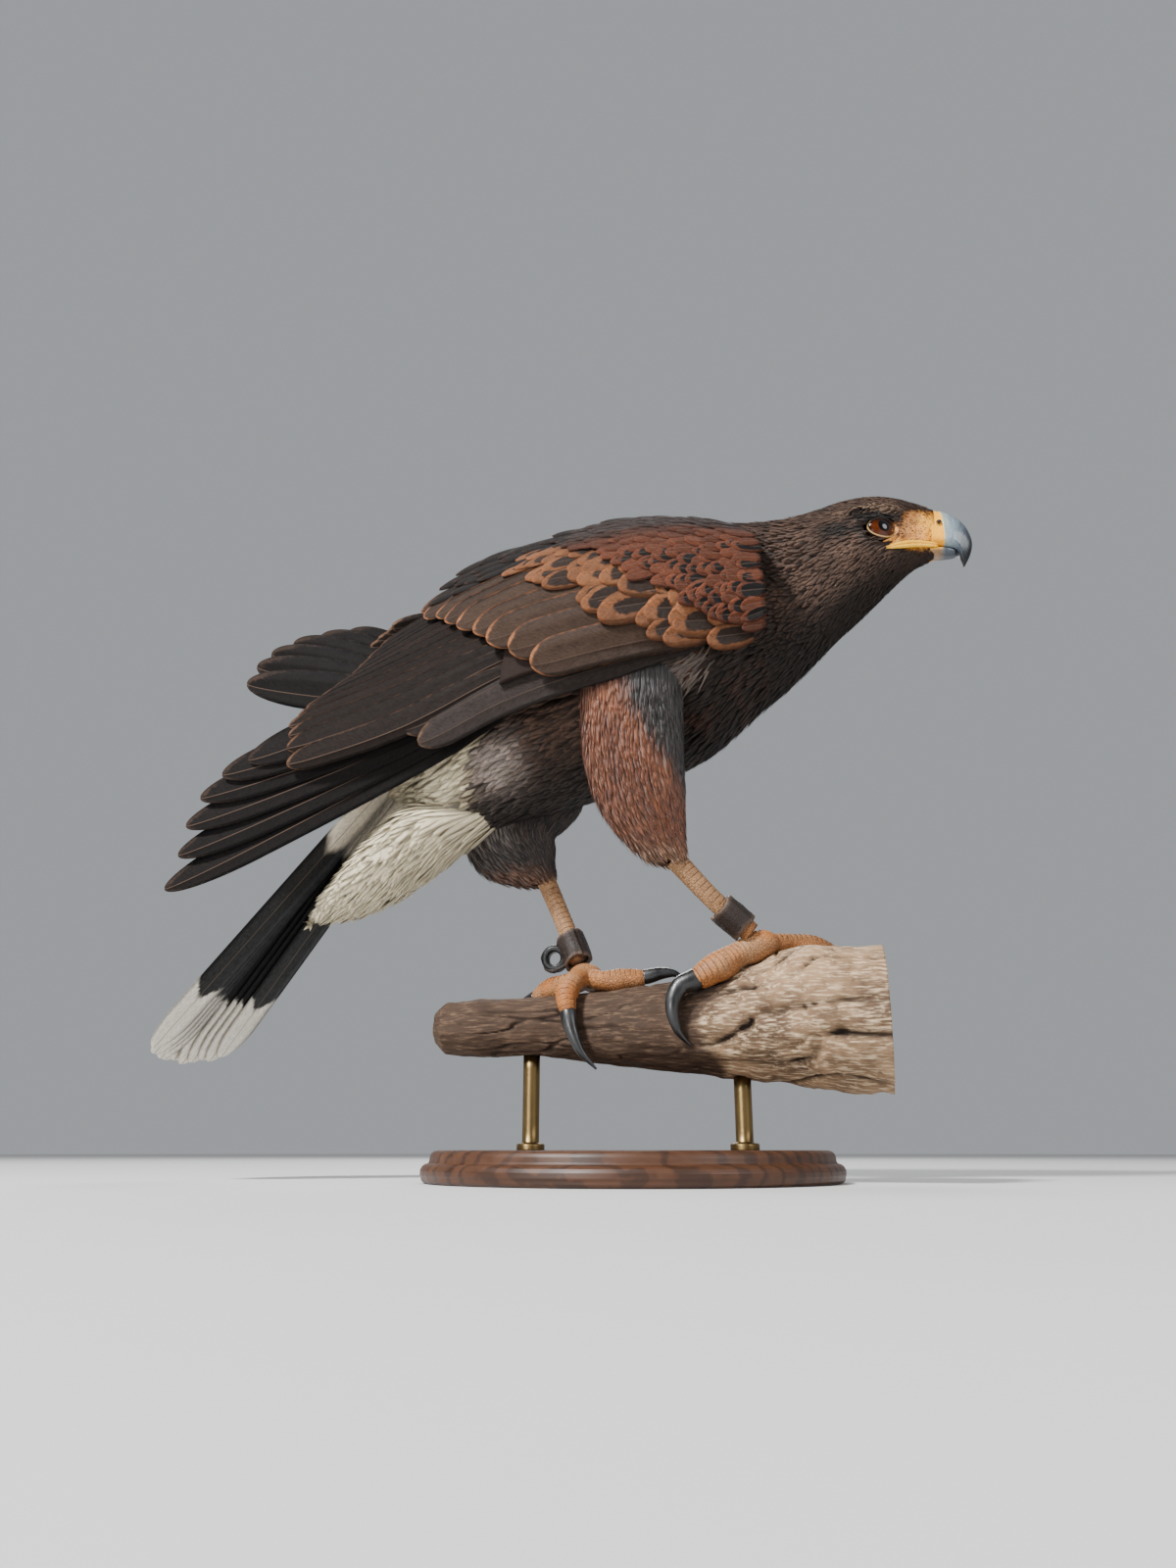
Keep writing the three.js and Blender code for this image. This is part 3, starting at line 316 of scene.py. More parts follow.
stained = Finish("stained_hardwood", Coat_Roughness=0.25, Specular_IOR_Level=0.4)
plank = stained.stretched(stained.place(), (9.0, 60.0, 60.0))
grain = stained.cloud(plank, 2.4, 6.0, 0.62)
rings = stained.node("ShaderNodeTexWave", {"wave_type": "BANDS", "bands_direction": "Y"}, {
    "Vector": stained.place(), "Scale": 42.0, "Distortion": 7.0, "Detail": 3.0, "Detail Scale": 1.4})
wood_tone = stained.blend(grain, "#24140c", "#5a3822")
wood_tone = stained.glaze(wood_tone, rings, 0.55, 0.95, 0.55, "#1c0f09")
stained.feed(Base_Color=wood_tone, Roughness=stained.between(grain, 0.2, 0.8, 0.34, 0.55))
stained.bump(grain + rings * 0.3, 0.0002, 0.5)
base_rings = turned_rings(rounded(base_moulding), 160)
fit(surface_mesh("display_base", *shell(base_rings)), stained, "stand_wood", "stand_base")

brass = Finish("brushed_brass", Metallic=1.0)
brushing = brass.cloud(brass.stretched(brass.place(), (900.0, 900.0, 8.0)), 1.0, 2.0)
tarnish = brass.cloud(brass.place(), 70.0, 4.0)
brass.feed(
    Base_Color=brass.blend(tarnish, "#8a734a", "#5e4d33"),
    Roughness=brass.between(brushing, 0.25, 0.75, 0.26, 0.48))
brass.bump(brushing, 0.00004, 0.6)
for rod_name, rod_x in rod_places.items():
    rod_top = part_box(rod_name)[1].z * 1000
    rod_profile = [
        (0, 12), (collar_radius - 0.6, 12), (collar_radius, 14.4), (collar_radius, 16.4),
        (collar_radius - 0.5, 16.9), (rod_radius + 0.5, 17.2), (rod_radius, 17.6), (rod_radius, rod_top),
        (0, rod_top)]
    rod_rings = turned_rings(rounded(rod_profile), 40, (rod_x, 0))
    fit(surface_mesh(f"display_{rod_name[6:]}", *shell(rod_rings)), brass, "stand_metal", rod_name)


# Perch. A cut length of dead branch, dark and barky at its thin end, and bare, bleached and
# gnarled where it thickens, with long cracks, a burr under the right foot and old insect holes.
branch_stations = [(-96, 71.5, 8), (-91, 71, 12.5), (-74, 70.8, 14), (-42, 70.6, 14.4), (-10, 69, 17.4),
                   (20, 69, 20.6), (45, 70.4, 24.2), (65, 71.6, 27), (85, 71.6, 29.6), (105, 71, 31.5),
                   (119, 70.6, 32.5)]
burr_x, burr_turn, burr_length, burr_spread, burr_rise = 84, 128, 19, 38, 6.6
gnarl = 0.9
wave_seed = 31
hole_places = [(104, 296, 3.4), (111, 318, 2.2), (96, 338, 1.8), (88, 282, 2.4)]  # x, turn, size
hole_depth, hole_lip = 3.2, 0.7
crack_depth, crack_width, hollow_shade_depth = 1.5, 0.055, 1.6
branch_rings, branch_round = 300, 168
bark_drop = 0.35  # keeps the ridges inside the branch's own outline
bark_colours = ["#231a14", "#4b382b", "#77604d"]
bleached_colours = ["#4e3c2e", "#97795c", "#d6bd9c"]


def seeded_draw(seed):
    """Numbers from -1 to 1, each worked out from the last by one product and one remainder."""
    state = seed
    while True:
        state = (state * 1664525 + 1013904223) % 4294967296
        yield state / 4294967296 * 2 - 1


wave_draw = seeded_draw(wave_seed)
branch_waves = [
    (4 + np.floor(2 * next(wave_draw) + 0.5), 0.03 + 0.02 * next(wave_draw), np.pi * next(wave_draw))
    for _ in range(6)]


def branch_at(x, turn):
    """Height of the wood's middle and its radius at x and a turn about it: straight runs between the
    stations, six slow waves round and along it, and a burr that fades as a bell curve."""
    place, height, radius = np.array(branch_stations, float).T
    waves = sum(np.sin(k * np.radians(turn) + stretch * x + phase) for k, stretch, phase in branch_waves)
    off = (turn - burr_turn + 540) % 360 - 180
    swelling = burr_rise * np.exp(-((x - burr_x) / burr_length) ** 2 - (off / burr_spread) ** 2)
    return np.interp(x, place, height), np.interp(x, place, radius) + gnarl * waves / 3 + swelling


def on_branch(x, turn, rise):
    """The place at x and a turn about the branch, rise above its wood."""
    x, turn = np.broadcast_arrays(np.asarray(x, float), np.asarray(turn, float))
    height, radius = branch_at(x, turn)
    angle = np.radians(turn)
    return np.stack([x, np.cos(angle) * (radius + rise), height + np.sin(angle) * (radius + rise)], -1)


def held(values):
    """Values below 0 made 0, and above 1 made 1."""
    return np.clip(values, 0, 1)


def length_of(vectors):
    """The length of each vector."""
    return np.linalg.norm(vectors, axis=-1)


def with_ends(values, first, last):
    """A grid's values as rows, and after them those of the middles that close its end rings."""
    return np.concatenate([values.reshape(-1, values.shape[-1]), [first, last]])


def cloud_at(points, size, seed=0):
    """Smooth random heights from -1 to 1: hashed values at the corners of cubes of that size, blended
    between the corners with an eased step."""
    scaled = np.asarray(points, float) / size + seed * 7.31
    cell = np.floor(scaled).astype(np.int64)
    part = scaled - cell
    eased = part * part * (3 - 2 * part)
    total = 0
    for corner in itertools.product((0, 1), repeat=3):
        x, y, z = np.moveaxis(cell + corner, -1, 0)
        mixed = (x * 73856093 ^ y * 19349663 ^ z * 83492791) + seed * 2654435
        mixed = (mixed ^ (mixed >> 13)) * 1274126177 & 0x7FFFFFFF
        weight = np.prod(np.where(corner, eased, 1 - eased), -1)
        total = total + weight * ((mixed % 65521) / 32760 - 1)
    return total


branch_x = np.concatenate([[-96.2], np.linspace(-96, 119, branch_rings), [119.2]])
wood_x, wood_turn = np.meshgrid(branch_x, np.arange(branch_round) * 360 / branch_round, indexing="ij")
wood = on_branch(wood_x, wood_turn, 0)
bare = held((wood_x - 30 + 14 * cloud_at(wood, 22, 3)) / 26)
flow = np.stack([wood_x / 7, wood[..., 1], wood[..., 2]], -1)
ridges = cloud_at(flow, 3.1, 1) * 0.5 + cloud_at(flow, 1.5, 2) * 0.25
cracks = np.exp(-(cloud_at(flow, 4.2, 5) / crack_width) ** 2) * held(cloud_at(wood, 30, 6) * 2 + 0.5)
lumps = cloud_at(wood, 9, 7) * 0.8 + cloud_at(wood, 4, 8) * 0.35
bands = np.sin(wood_turn / 5.5 + wood_x / 16 + 4.5 * cloud_at(wood * [0.5, 1, 1], 15, 9))
swirls = 0.9 - 1.7 * np.exp(-((1 - bands) / 0.16) ** 2) - 0.4 * bands
relief = (1 - bare) * (ridges + lumps * 0.5) + bare * (lumps * 1.2 + swirls * 0.8 + ridges * 0.8)
relief = relief - crack_depth * cracks
for hole_x, hole_turn, hole_size in hole_places:
    near = length_of(wood - on_branch(hole_x, hole_turn, 0)) / hole_size
    relief = relief - hole_depth * np.exp(-near ** 4) + hole_lip * np.exp(-(near - 1.6) ** 2 * 4)
relief = relief - bark_drop
wood = on_branch(wood_x, wood_turn, relief)
for end_row, inner_row, share in [(0, 1, 0.55), (-1, -2, 0.8)]:
    inner = wood[inner_row, :, 1:]
    wood[end_row, :, 1:] = inner.mean(0) + (inner - inner.mean(0)) * share
wood[0, :, 0] -= 0.6 * cloud_at(wood[0], 5, 4)

deadwood = Finish("dead_wood", Specular_IOR_Level=0.25)
lengthwise = deadwood.stretched(deadwood.place(), (120.0, 900.0, 900.0))
fibres = deadwood.cloud(lengthwise, 1.0, 5.0, 0.6)
stains = deadwood.cloud(deadwood.place(), 38.0, 5.0, 0.6)
specks = deadwood.cloud(deadwood.place(), 420.0, 3.0, 0.6)
wood_state = deadwood.attribute("wood")
is_bare = deadwood.axis(wood_state, 0)
hollow = deadwood.axis(wood_state, 1)
dark_wood = deadwood.blend(stains, *bark_colours[:2])
dark_wood = deadwood.glaze(dark_wood, fibres, 0.45, 0.75, 0.7, bark_colours[2])
pale_wood = deadwood.blend(deadwood.between(stains, 0.3, 0.7), *bleached_colours[:2])
pale_wood = deadwood.glaze(pale_wood, fibres, 0.45, 0.7, 0.75, bleached_colours[2])
wood_colour = deadwood.glaze(dark_wood, is_bare + (stains - 0.5) * 0.8, 0.35, 0.7, 1.0, pale_wood)
# Painted shade: the wood goes near black the deeper its surface sinks into cracks, holes and bark furrows.
wood_colour = deadwood.blend(hollow, wood_colour, "#1a0f08")
wood_colour = deadwood.glaze(wood_colour, specks, 0.62, 0.72, 0.45, "#2e1e14")
deadwood.feed(Base_Color=wood_colour, Roughness=deadwood.between(fibres, 0.2, 0.8, 0.72, 0.95))
deadwood.bump(fibres * 0.6 + specks * 0.4, 0.0006, 0.8)
# How far each point sinks below the wood, as the share of that painted shade.
depth = held(-(relief + bark_drop) / hollow_shade_depth)
wood_values = with_ends(np.stack([bare, depth, 0 * bare], -1), [0, 0.1, 0], [0.6, 0, 0])
fit(surface_mesh("perch", *shell(wood), {"wood": wood_values}), deadwood, "dead_wood", "perch_branch")


# Skin. One body under all the feathers: head, neck, trunk, thighs and the mass under the tail.
# It shows only between feathers and on the bare face, where it is tan and freckled.
trunk_stations = [  # back x, back z, under x, under z, half width
    (160.2, 329.2, 158.5, 301.5, 8.6), (152, 332.8, 150, 297.2, 12), (143, 335.6, 141, 290.4, 17),
    (131, 337.4, 129.5, 280, 21.2), (117, 336.2, 119, 270.5, 24), (102, 332.2, 109, 262, 25.5),
    (86, 328.6, 98, 251.5, 28.5), (66, 327, 85, 240, 36), (40, 328.5, 66, 225.5, 46), (8, 329, 42, 206, 51),
    (-30, 322, 10, 192, 50.5), (-68, 303, -24, 184, 44.5), (-98, 275, -56, 177, 36.5),
    (-120, 246, -84, 172, 27), (-129, 226, -100, 180, 18)]
undertail_stations = [
    (-99, 186, -70, 171, 20), (-118, 181, -88, 163.5, 26), (-134.5, 164, -108, 151, 27),
    (-147.5, 149, -126, 139.5, 24), (-158, 137, -144, 132, 17), (-163.5, 131.2, -158, 129, 8)]
thigh_stations = {  # middle, half width, half depth fore and aft
    "R": [(8, -36, 236, 17, 27), (9, -38, 214, 18, 25), (10, -37, 190, 16, 23.5), (14, -32, 170, 13.5, 20),
          (20, -27, 155, 9.5, 13.5), (25.5, -23.6, 145.4, 6.6, 7.4)],
    "L": [(-52, 34, 238, 17, 30), (-60, 35, 214, 18, 34), (-67, 33, 192, 17, 34), (-66, 29, 172, 14.5, 27),
          (-56, 25, 158, 10, 15), (-49, 22.6, 150.4, 6.6, 7.4)]}
sides = {"R": -1, "L": 1}
eye_place = np.array([131.8, 11.9, 312.6])
eye_radius = 8.8
lid_half = (7.4, 4.4, 5.6)
mouth_line = [(162, 305.1, 5.4), (152, 305.2, 8.2), (144, 303.1, 12), (135.6, 299.9, 16.2)]
gaze_turn = 27
brow_line = [(150, 13.4, 319.6), (141, 18.4, 322), (131, 20.4, 321.6), (121, 21.6, 318.6)]
ridge_height, ridge_reach = 3.6, 3.0
head_bells = [  # middle, reach and height of each hollow or swelling of the head
    ((147, 12, 311), 7, -0.9), ((140.5, 18, 316), 4.5, -1.0), ((131.8, 20, 310), 8, -0.9),
    ((116, 20, 299), 13, 1.0), ((159, 0, 299), 6.5, 1.3)]
trunk_depth = ([0, 0.12, 0.3, 0.45, 0.6, 1], [1.8, 2.4, 2.8, 4, 5, 5.5])  # skin under the feathers' tops
undertail_depth = ([0, 1], [5, 5])
thigh_depth = ([0, 0.75, 1], [4, 3.4, 1.8])
skin_voxel = 0.0013
skin_socket, face_socket = (1.8, 1.0), (0.9, 0.1)  # depth behind the eyeball, and reach past the lids
face_start, face_end = -0.014, 0.2
face_depth = ([0, 0.05, 0.12, face_end], [0.15, 0.7, 1.5, 3.4])


def along(knots, u):
    """The place on a smooth curve through knots, 0 at the first and 1 at the last: a cubic in each
    span whose slopes are half the chord between its neighbours, and straight on past the ends."""
    knots, u = np.asarray(knots, float), np.asarray(u, float)
    spans = knots.shape[-2] - 1
    before, after = 2 * knots[..., :1, :] - knots[..., 1:2, :], 2 * knots[..., -1:, :] - knots[..., -2:-1, :]
    padded = np.concatenate([before, knots, after], -2)
    inside = held(u)
    span = np.minimum((inside * spans).astype(int), spans - 1)
    f = (inside * spans - span)[..., None]
    if padded.ndim == 2:
        a, b, c, d = (padded[span + k] for k in range(4))
    else:
        a, b, c, d = (
            np.take_along_axis(padded, (span + k)[..., None, None], -2)[..., 0, :] for k in range(4))
    leave, arrive = (c - a) / 2, (d - b) / 2
    place = (b * (2 * f ** 3 - 3 * f ** 2 + 1) + leave * (f ** 3 - 2 * f ** 2 + f)
             + c * (3 * f ** 2 - 2 * f ** 3) + arrive * (f ** 3 - f ** 2))
    slope = (6 * f ** 2 - 6 * f) * (b - c) + (3 * f ** 2 - 4 * f + 1) * leave + (3 * f ** 2 - 2 * f) * arrive
    return place + slope * spans * (u - inside)[..., None]


def unit(vectors):
    """Each vector divided by its length."""
    return vectors / np.maximum(np.linalg.norm(vectors, axis=-1, keepdims=True), 1e-9)


def to_left(points):
    """Points of the right side carried over to the left."""
    return points * [1, 0, 1] + np.abs(points) * [0, 1, 0]


def gaze(side):
    """The way an eye looks, forward and out."""
    turn = np.radians(gaze_turn)
    return unit(np.array([np.sin(turn), np.cos(turn) * side, -0.03]))


def head_relief(points):
    """Height added to the head, in millimetres: a brow ridge over each eye, a hollow between eye and
    bill and one below the brow, and a full cheek, each a bell curve about its place."""
    mirrored = to_left(points)
    apart = mirrored[..., None, :] - along(brow_line, np.linspace(0, 1, 12))
    below = 1 + 1.1 * held(-apart[..., 2] / 1.2)
    to_ridge = np.min(length_of(apart) * below, -1)
    height = ridge_height * np.exp(-(to_ridge / ridge_reach) ** 2)
    for middle, reach, rise in head_bells:
        height = height + rise * np.exp(-np.sum((mirrored - middle) ** 2, -1) / reach ** 2)
    return height


class Trunk:
    """A form in the bird's middle plane. A station's section is an oval squared a little: sideways
    the half width times a power of the cosine, and up and down a power of the sine."""
    sign = 1

    def __init__(self, stations, widest, squareness, relief=None):
        self.stations, self.last = np.array(stations, float), len(stations) - 1
        self.widest, self.power, self.relief = widest, 2 / squareness, relief

    def place(self, u, turn):
        row = along(self.stations, u)
        up_x, up_z = row[..., 0] - row[..., 2], row[..., 1] - row[..., 3]
        c, s = np.cos(np.radians(turn)), np.sin(np.radians(turn))
        rise = np.sign(s) * np.abs(s) ** self.power
        level = self.widest + rise * np.where(rise > 0, 1 - self.widest, self.widest)
        side = np.sign(c) * np.abs(c) ** self.power * row[..., 4]
        points = np.stack([row[..., 2] + up_x * level, side, row[..., 3] + up_z * level], -1)
        if self.relief is None:
            return points
        middle = np.stack([row[..., 2] + up_x * 0.5, 0 * side, row[..., 3] + up_z * 0.5], -1)
        return points + unit(points - middle) * self.relief(points)[..., None]


class Limb:
    """A limb along a curve: each section is an oval square to it, wide sideways and deep fore and
    aft, so a point is the middle plus a cosine of the one and a sine of the other."""
    sign = -1

    def __init__(self, stations):
        self.stations = np.array(stations, float)

    def place(self, u, turn):
        row = along(self.stations, u)
        run = unit(along(self.stations[:, :3], u + 0.01) - along(self.stations[:, :3], u - 0.01))
        sideways = unit(np.array([0.0, 1, 0]) - run * run[..., 1:2])
        c, s = np.cos(np.radians(turn))[..., None], np.sin(np.radians(turn))[..., None]
        return row[..., :3] + sideways * c * row[..., 3:4] + np.cross(run, sideways) * s * row[..., 4:5]


def slopes(surface, u, turn):
    """Change of place for one whole length of the form, and for one degree of turn."""
    by_length = (surface.place(u + 0.004, turn) - surface.place(u - 0.004, turn)) / 0.008
    by_turn = (surface.place(u, turn + 1) - surface.place(u, turn - 1)) / 2
    return by_length, by_turn


def raised(surface, u, turn, height):
    """Places over a form, or under it where height is below 0, along its outward direction."""
    by_length, by_turn = slopes(surface, u, turn)
    out = unit(np.cross(by_length, by_turn)) * surface.sign
    return surface.place(u, turn) + out * np.asarray(height)[..., None], out


trunk = Trunk(trunk_stations, 0.53, 2.15, head_relief)
undertail = Trunk(undertail_stations, 0.45, 2.1)
thighs = {name: Limb(stations) for name, stations in thigh_stations.items()}


def grid_of(start, end, rows, around):
    """Places along a form and degrees of turn about it, as two grids of rows by around."""
    return np.meshgrid(np.linspace(start, end, rows), np.arange(around) * 360 / around, indexing="ij")


def body_shell(surface, rows, around, depth):
    """The closed skin of a form, sunk by a depth that is read off along its length."""
    u, turn = grid_of(0, 1, rows, around)
    return shell(raised(surface, u, turn, -np.interp(u, *depth))[0])


def merged(parts):
    """Several closed skins as one list of points and faces."""
    shifts = np.cumsum([0, *(len(part[0]) for part in parts[:-1])])
    return (np.concatenate([part[0] for part in parts]),
            *(np.concatenate([part[k] + shift for part, shift in zip(parts, shifts)]) for k in (1, 2)))


def fused(name, parts, voxel, smoothing):
    """The overlapping closed parts made one surface."""
    rough = bpy.data.objects.new("parts", surface_mesh("parts", *merged(parts)))
    bpy.context.scene.collection.objects.link(rough)
    melt = rough.modifiers.new("melt", "REMESH")
    melt.mode, melt.voxel_size, melt.use_smooth_shade = "VOXEL", voxel, True
    ease = rough.modifiers.new("ease", "SMOOTH")
    ease.factor, ease.iterations = 0.5, smoothing
    bpy.context.view_layer.update()
    mesh = bpy.data.meshes.new_from_object(rough.evaluated_get(bpy.context.evaluated_depsgraph_get()))
    mesh.name = name
    bpy.data.objects.remove(rough)
    mesh.polygons.foreach_set("use_smooth", np.ones(len(mesh.polygons), bool))
    return mesh


def mesh_points(mesh):
    """A mesh's points in millimetres."""
    points = np.zeros(len(mesh.vertices) * 3, np.float32)
    mesh.vertices.foreach_get("co", points)
    return points.reshape(-1, 3).astype(float) * 1000


def bell(points, middle, reach):
    """1 at the middle and falling off as a bell curve, over a reach along each axis."""
    return np.exp(-np.sum(((points - np.array(middle)) / np.array(reach)) ** 2, -1))


dark, umber, greyish, black, rufous, cream, sooty, silk = (pigment(code) for code in (
    "#241a14", "#3b2a20", "#74594a", "#0e0b0a", "#6b3a22", "#fff0ca", "#191312", "#a89c95"))


def over(below, above, share):
    """One colour laid over another by a share from 0 to 1."""
    share = held(share)[..., None]
    return below * (1 - share) + above * share


def plumage(points):
    """Ground and edge colour of the body's feathers by place: brown on the head and neck, black along
    the throat and belly, rusty thighs, a white vent, and a soft blend wherever two meet. Over each eye
    lie a painted shadow under the brow ridge and behind the eye, and a painted highlight along the brow."""
    x, y, z = np.moveaxis(points, -1, 0)
    mottle = cloud_at(points, 9, 11)[..., None]
    fine = cloud_at(points, 3.2, 12)[..., None]

    ground = dark * (1 + 0.25 * fine) + 0 * points
    edge = over(umber + 0 * points, greyish, 0.35 + 0.5 * mottle[..., 0])
    line = np.interp(x, [-100, 8, 66, 98, 119, 141, 160], [190, 215, 262, 276, 291, 303, 303])
    throat = (line - z) / 16 + 0.4 * mottle[..., 0]
    ground, edge = over(ground, black, throat), over(edge, dark, throat * 0.9)
    mantle = held((70 - x) / 40) * held((z - 285) / 25)
    ground, edge = over(ground, sooty, mantle), over(edge, dark, mantle)
    mirrored = to_left(points)
    # Painted shadow: near black under the brow ridge and behind each eye.
    shade = 1.6 * bell(mirrored, (136, 20, 318.5), (12, 9, 2.6))
    shade = shade + 1.3 * bell(mirrored, (119.5, 22, 312), (7, 8, 4.5))
    ground, edge = over(ground, black * 0.6, shade), over(edge, black, shade)
    # Painted highlight: a paler band along the top of each brow ridge.
    brow = bell(mirrored, (138, 19, 323.4), (14, 6, 1.6)) * 1.2
    ground, edge = over(ground, pigment("#5f4a3c"), brow), over(edge, pigment("#9a7f6a"), brow)
    rust = held((mottle[..., 0] * 2 - 0.2)) * bell(points, (46, 0, 245), (26, 90, 26)) * 0.7
    edge = over(edge, rufous, rust)
    patch = bell(mirrored, (-45, 34, 202), (13, 16, 13)) * 1.5
    ground, edge = over(ground, silk * 0.8, patch), over(edge, silk * 1.2, patch)
    vent = held((-54 - x + 5 * mottle[..., 0] + (z - 205) / 4) / 7) * held((238 - z) / 14)
    return over(ground, cream, vent), over(edge, cream * 1.15, vent)


def face_share(points):
    """How bare the face is: 1 between the eye and the bill, and along the mouth, fading outward."""
    mirrored = to_left(points)
    lore = bell(mirrored, (153, 10, 314.5), (10, 11, 10)) * 2.2
    gape = bell(mirrored, (147, 13, 305), (13, 9, 2.5)) * 1.4
    look = gaze(1)
    offset = mirrored - eye_place
    beside = offset - (offset @ look)[..., None] * look
    lids = np.exp(-((length_of(beside) - 7.6) / 2.2) ** 2)
    lids = lids * np.where(beside[..., 2] < 1, 1.3, 0.2)
    return held(lore + gape + lids * (offset @ look > 0) - 0.35)


def face_colour(points):
    """The bare face: pinkish tan, turning yellow toward the bill and the lips, and paler by the lids, with
    a painted shade line along the mouth's parting.
    """
    mirrored = to_left(points)
    yellow = np.clip((mirrored[..., 0] - 150 + 3 * cloud_at(points, 4, 31)) / 10, 0, 0.9)
    yellow = yellow * held((mirrored[..., 2] - 302.6) / 1.5)
    yellow = np.maximum(yellow, bell(mirrored, (150, 12, 305), (9, 9, 2.6)))
    tan = pigment("#bd8f5e") * (1 + 0.25 * cloud_at(points, 2.4, 32)[..., None])
    tan = tan + (pigment("#eeb02c") - tan) * yellow[..., None]
    # Painted shade: the skin goes nearly black along the mouth's parting.
    x, z, _ = np.array(mouth_line).T[:, ::-1]
    mouth_parting_shade = np.exp(-((points[..., 2] - np.interp(points[..., 0], x, z)) / 0.55) ** 2)
    return tan * (1 - 0.93 * mouth_parting_shade[..., None])


def eye_rim(points, side):
    """How far points lie from an eye's gaze, how far ahead of its middle, and how far out the lids'
    edge is that way: an oval, lower above than below."""
    look = gaze(side)
    level = unit(np.cross(look, [0, 0, 1]))
    offset = points - eye_place * [1, side, 1]
    ahead = offset @ look
    flat = offset - ahead[..., None] * look
    away = length_of(flat)
    upward = (flat @ np.cross(level, look)) / np.maximum(away, 1e-6)
    tall = np.where(upward > 0, lid_half[1], lid_half[2])
    rim = 1 / np.sqrt((1 - upward ** 2) / lid_half[0] ** 2 + upward ** 2 / tall ** 2)
    return away, ahead, rim, unit(flat)


def set_sockets(points, depth, reach):
    """Points before each eye sunk behind its ball, out to a reach past the lids' edge."""
    for side in sides.values():
        away, ahead, rim, _ = eye_rim(points, side)
        ball = np.sqrt(np.maximum(eye_radius ** 2 - away ** 2, 0)) - depth
        sunk = np.where((away < rim + reach) & (ahead > -2), np.minimum(ahead, ball) - ahead, 0)
        points = points + sunk[..., None] * gaze(side)
    return points


skin_parts = [body_shell(trunk, 150, 110, trunk_depth), body_shell(undertail, 40, 50, undertail_depth),
              *(body_shell(thigh, 60, 60, thigh_depth) for thigh in thighs.values())]
skin_mesh = fused("body_skin", skin_parts, skin_voxel, 6)
skin = set_sockets(mesh_points(skin_mesh), *skin_socket)
set_places(skin_mesh, skin)
skin_ground = plumage(skin)[0] * 0.8
right_thigh = held((26 - np.abs(skin[:, 0] - 10)) / 6) * (skin[:, 1] < -12) * (skin[:, 2] < 228)
skin_colour = skin_ground + (pigment("#7d4429") - skin_ground) * right_thigh[:, None]
set_values(skin_mesh, {"ground": np.concatenate([skin_colour, 0 * skin_colour[:, :1]], 1)})

body_skin = Finish("body_skin", Specular_IOR_Level=0.2)
freckles = body_skin.cloud(body_skin.place(), 1500.0, 4.0, 0.6)
blush = body_skin.cloud(body_skin.place(), 320.0, 3.0)
bareness = body_skin.attribute("ground", "Alpha")
face_tone = body_skin.blend(blush, body_skin.attribute("ground"), "#d39a72", "SOFT_LIGHT")
dots = body_skin.between(freckles, 0.53, 0.6) * bareness
face_tone = body_skin.blend(dots * 0.8, face_tone, "#2d1c14")
body_skin.feed(Base_Color=face_tone, Roughness=body_skin.between(freckles, 0.3, 0.7, 0.5, 0.75))
body_skin.bump(freckles * 0.6 + blush, 0.0004, 0.7)
fit(skin_mesh, body_skin, "body_feather", "head", "neck", "torso", "thigh_R", "thigh_L")

face_u, face_turn = grid_of(face_start, face_end, 170, 300)
face = raised(trunk, face_u, face_turn, -np.interp(face_u, *face_depth))[0]
for side in sides.values():
    away, ahead, rim, _ = eye_rim(face, side)
    past = away - rim
    fold = 0.5 * np.exp(-((past - 1.1) / 0.7) ** 2) - 0.35 * np.exp(-((past - 2.6) / 0.7) ** 2)
    face = face + np.where(ahead > 0, fold, 0)[..., None] * gaze(side)
face = set_sockets(face, *face_socket)
face_bare = face_share(face)
face_ground = plumage(face)[0] * 0.8
face_tint = face_ground + (face_colour(face) - face_ground) * face_bare[..., None]
face_rows = with_ends(np.concatenate([face_tint, face_bare[..., None]], -1), *[[0.05, 0.04, 0.03, 0]] * 2)
fit(surface_mesh("face_skin", *shell(face), {"ground": face_rows}), body_skin, "body_feather")


# Eyes. Glass eyes as they are set in a mount: a black pupil in a red-brown iris with fine rays and
# a dark rim, under one clear glossy front, each in a ring of thin pale lid. The top of each iris and
# the upper side of each lid are darkened with painted shadow of the brow.
iris_reach = 7.0
pupil_reach = 3.1
lid_tube = 0.4

glass_eye = Finish("glass_eye", Roughness=0.12, Coat_Roughness=0.02, Specular_IOR_Level=0.06)
eye_value = glass_eye.attribute("iris")
from_pupil = glass_eye.axis(eye_value, 0)
rays = glass_eye.cloud(glass_eye.stretched(eye_value, (2.0, 34.0, 34.0)), 1.0, 3.0)
iris_colour = glass_eye.blend(rays, "#1a0a04", "#5c2a12")
iris_colour = glass_eye.glaze(iris_colour, from_pupil, 0.76, 1.0, 1.0, "#0c0503")
# Painted shadow of the brow: the iris darkens toward its top.
iris_colour = glass_eye.glaze(iris_colour, glass_eye.axis(eye_value, 2), -0.1, 0.9, 0.85, "#080302")
pupil_share = glass_eye.between(from_pupil, pupil_reach / iris_reach - 0.03, pupil_reach / iris_reach + 0.03)
rearward = glass_eye.axis(eye_value, 1) * from_pupil
glass_eye.feed(Base_Color=glass_eye.blend(pupil_share, "#020202", iris_colour),
               Coat_Weight=glass_eye.between(rearward, 0.1, 0.6, 0.8, 0.0))


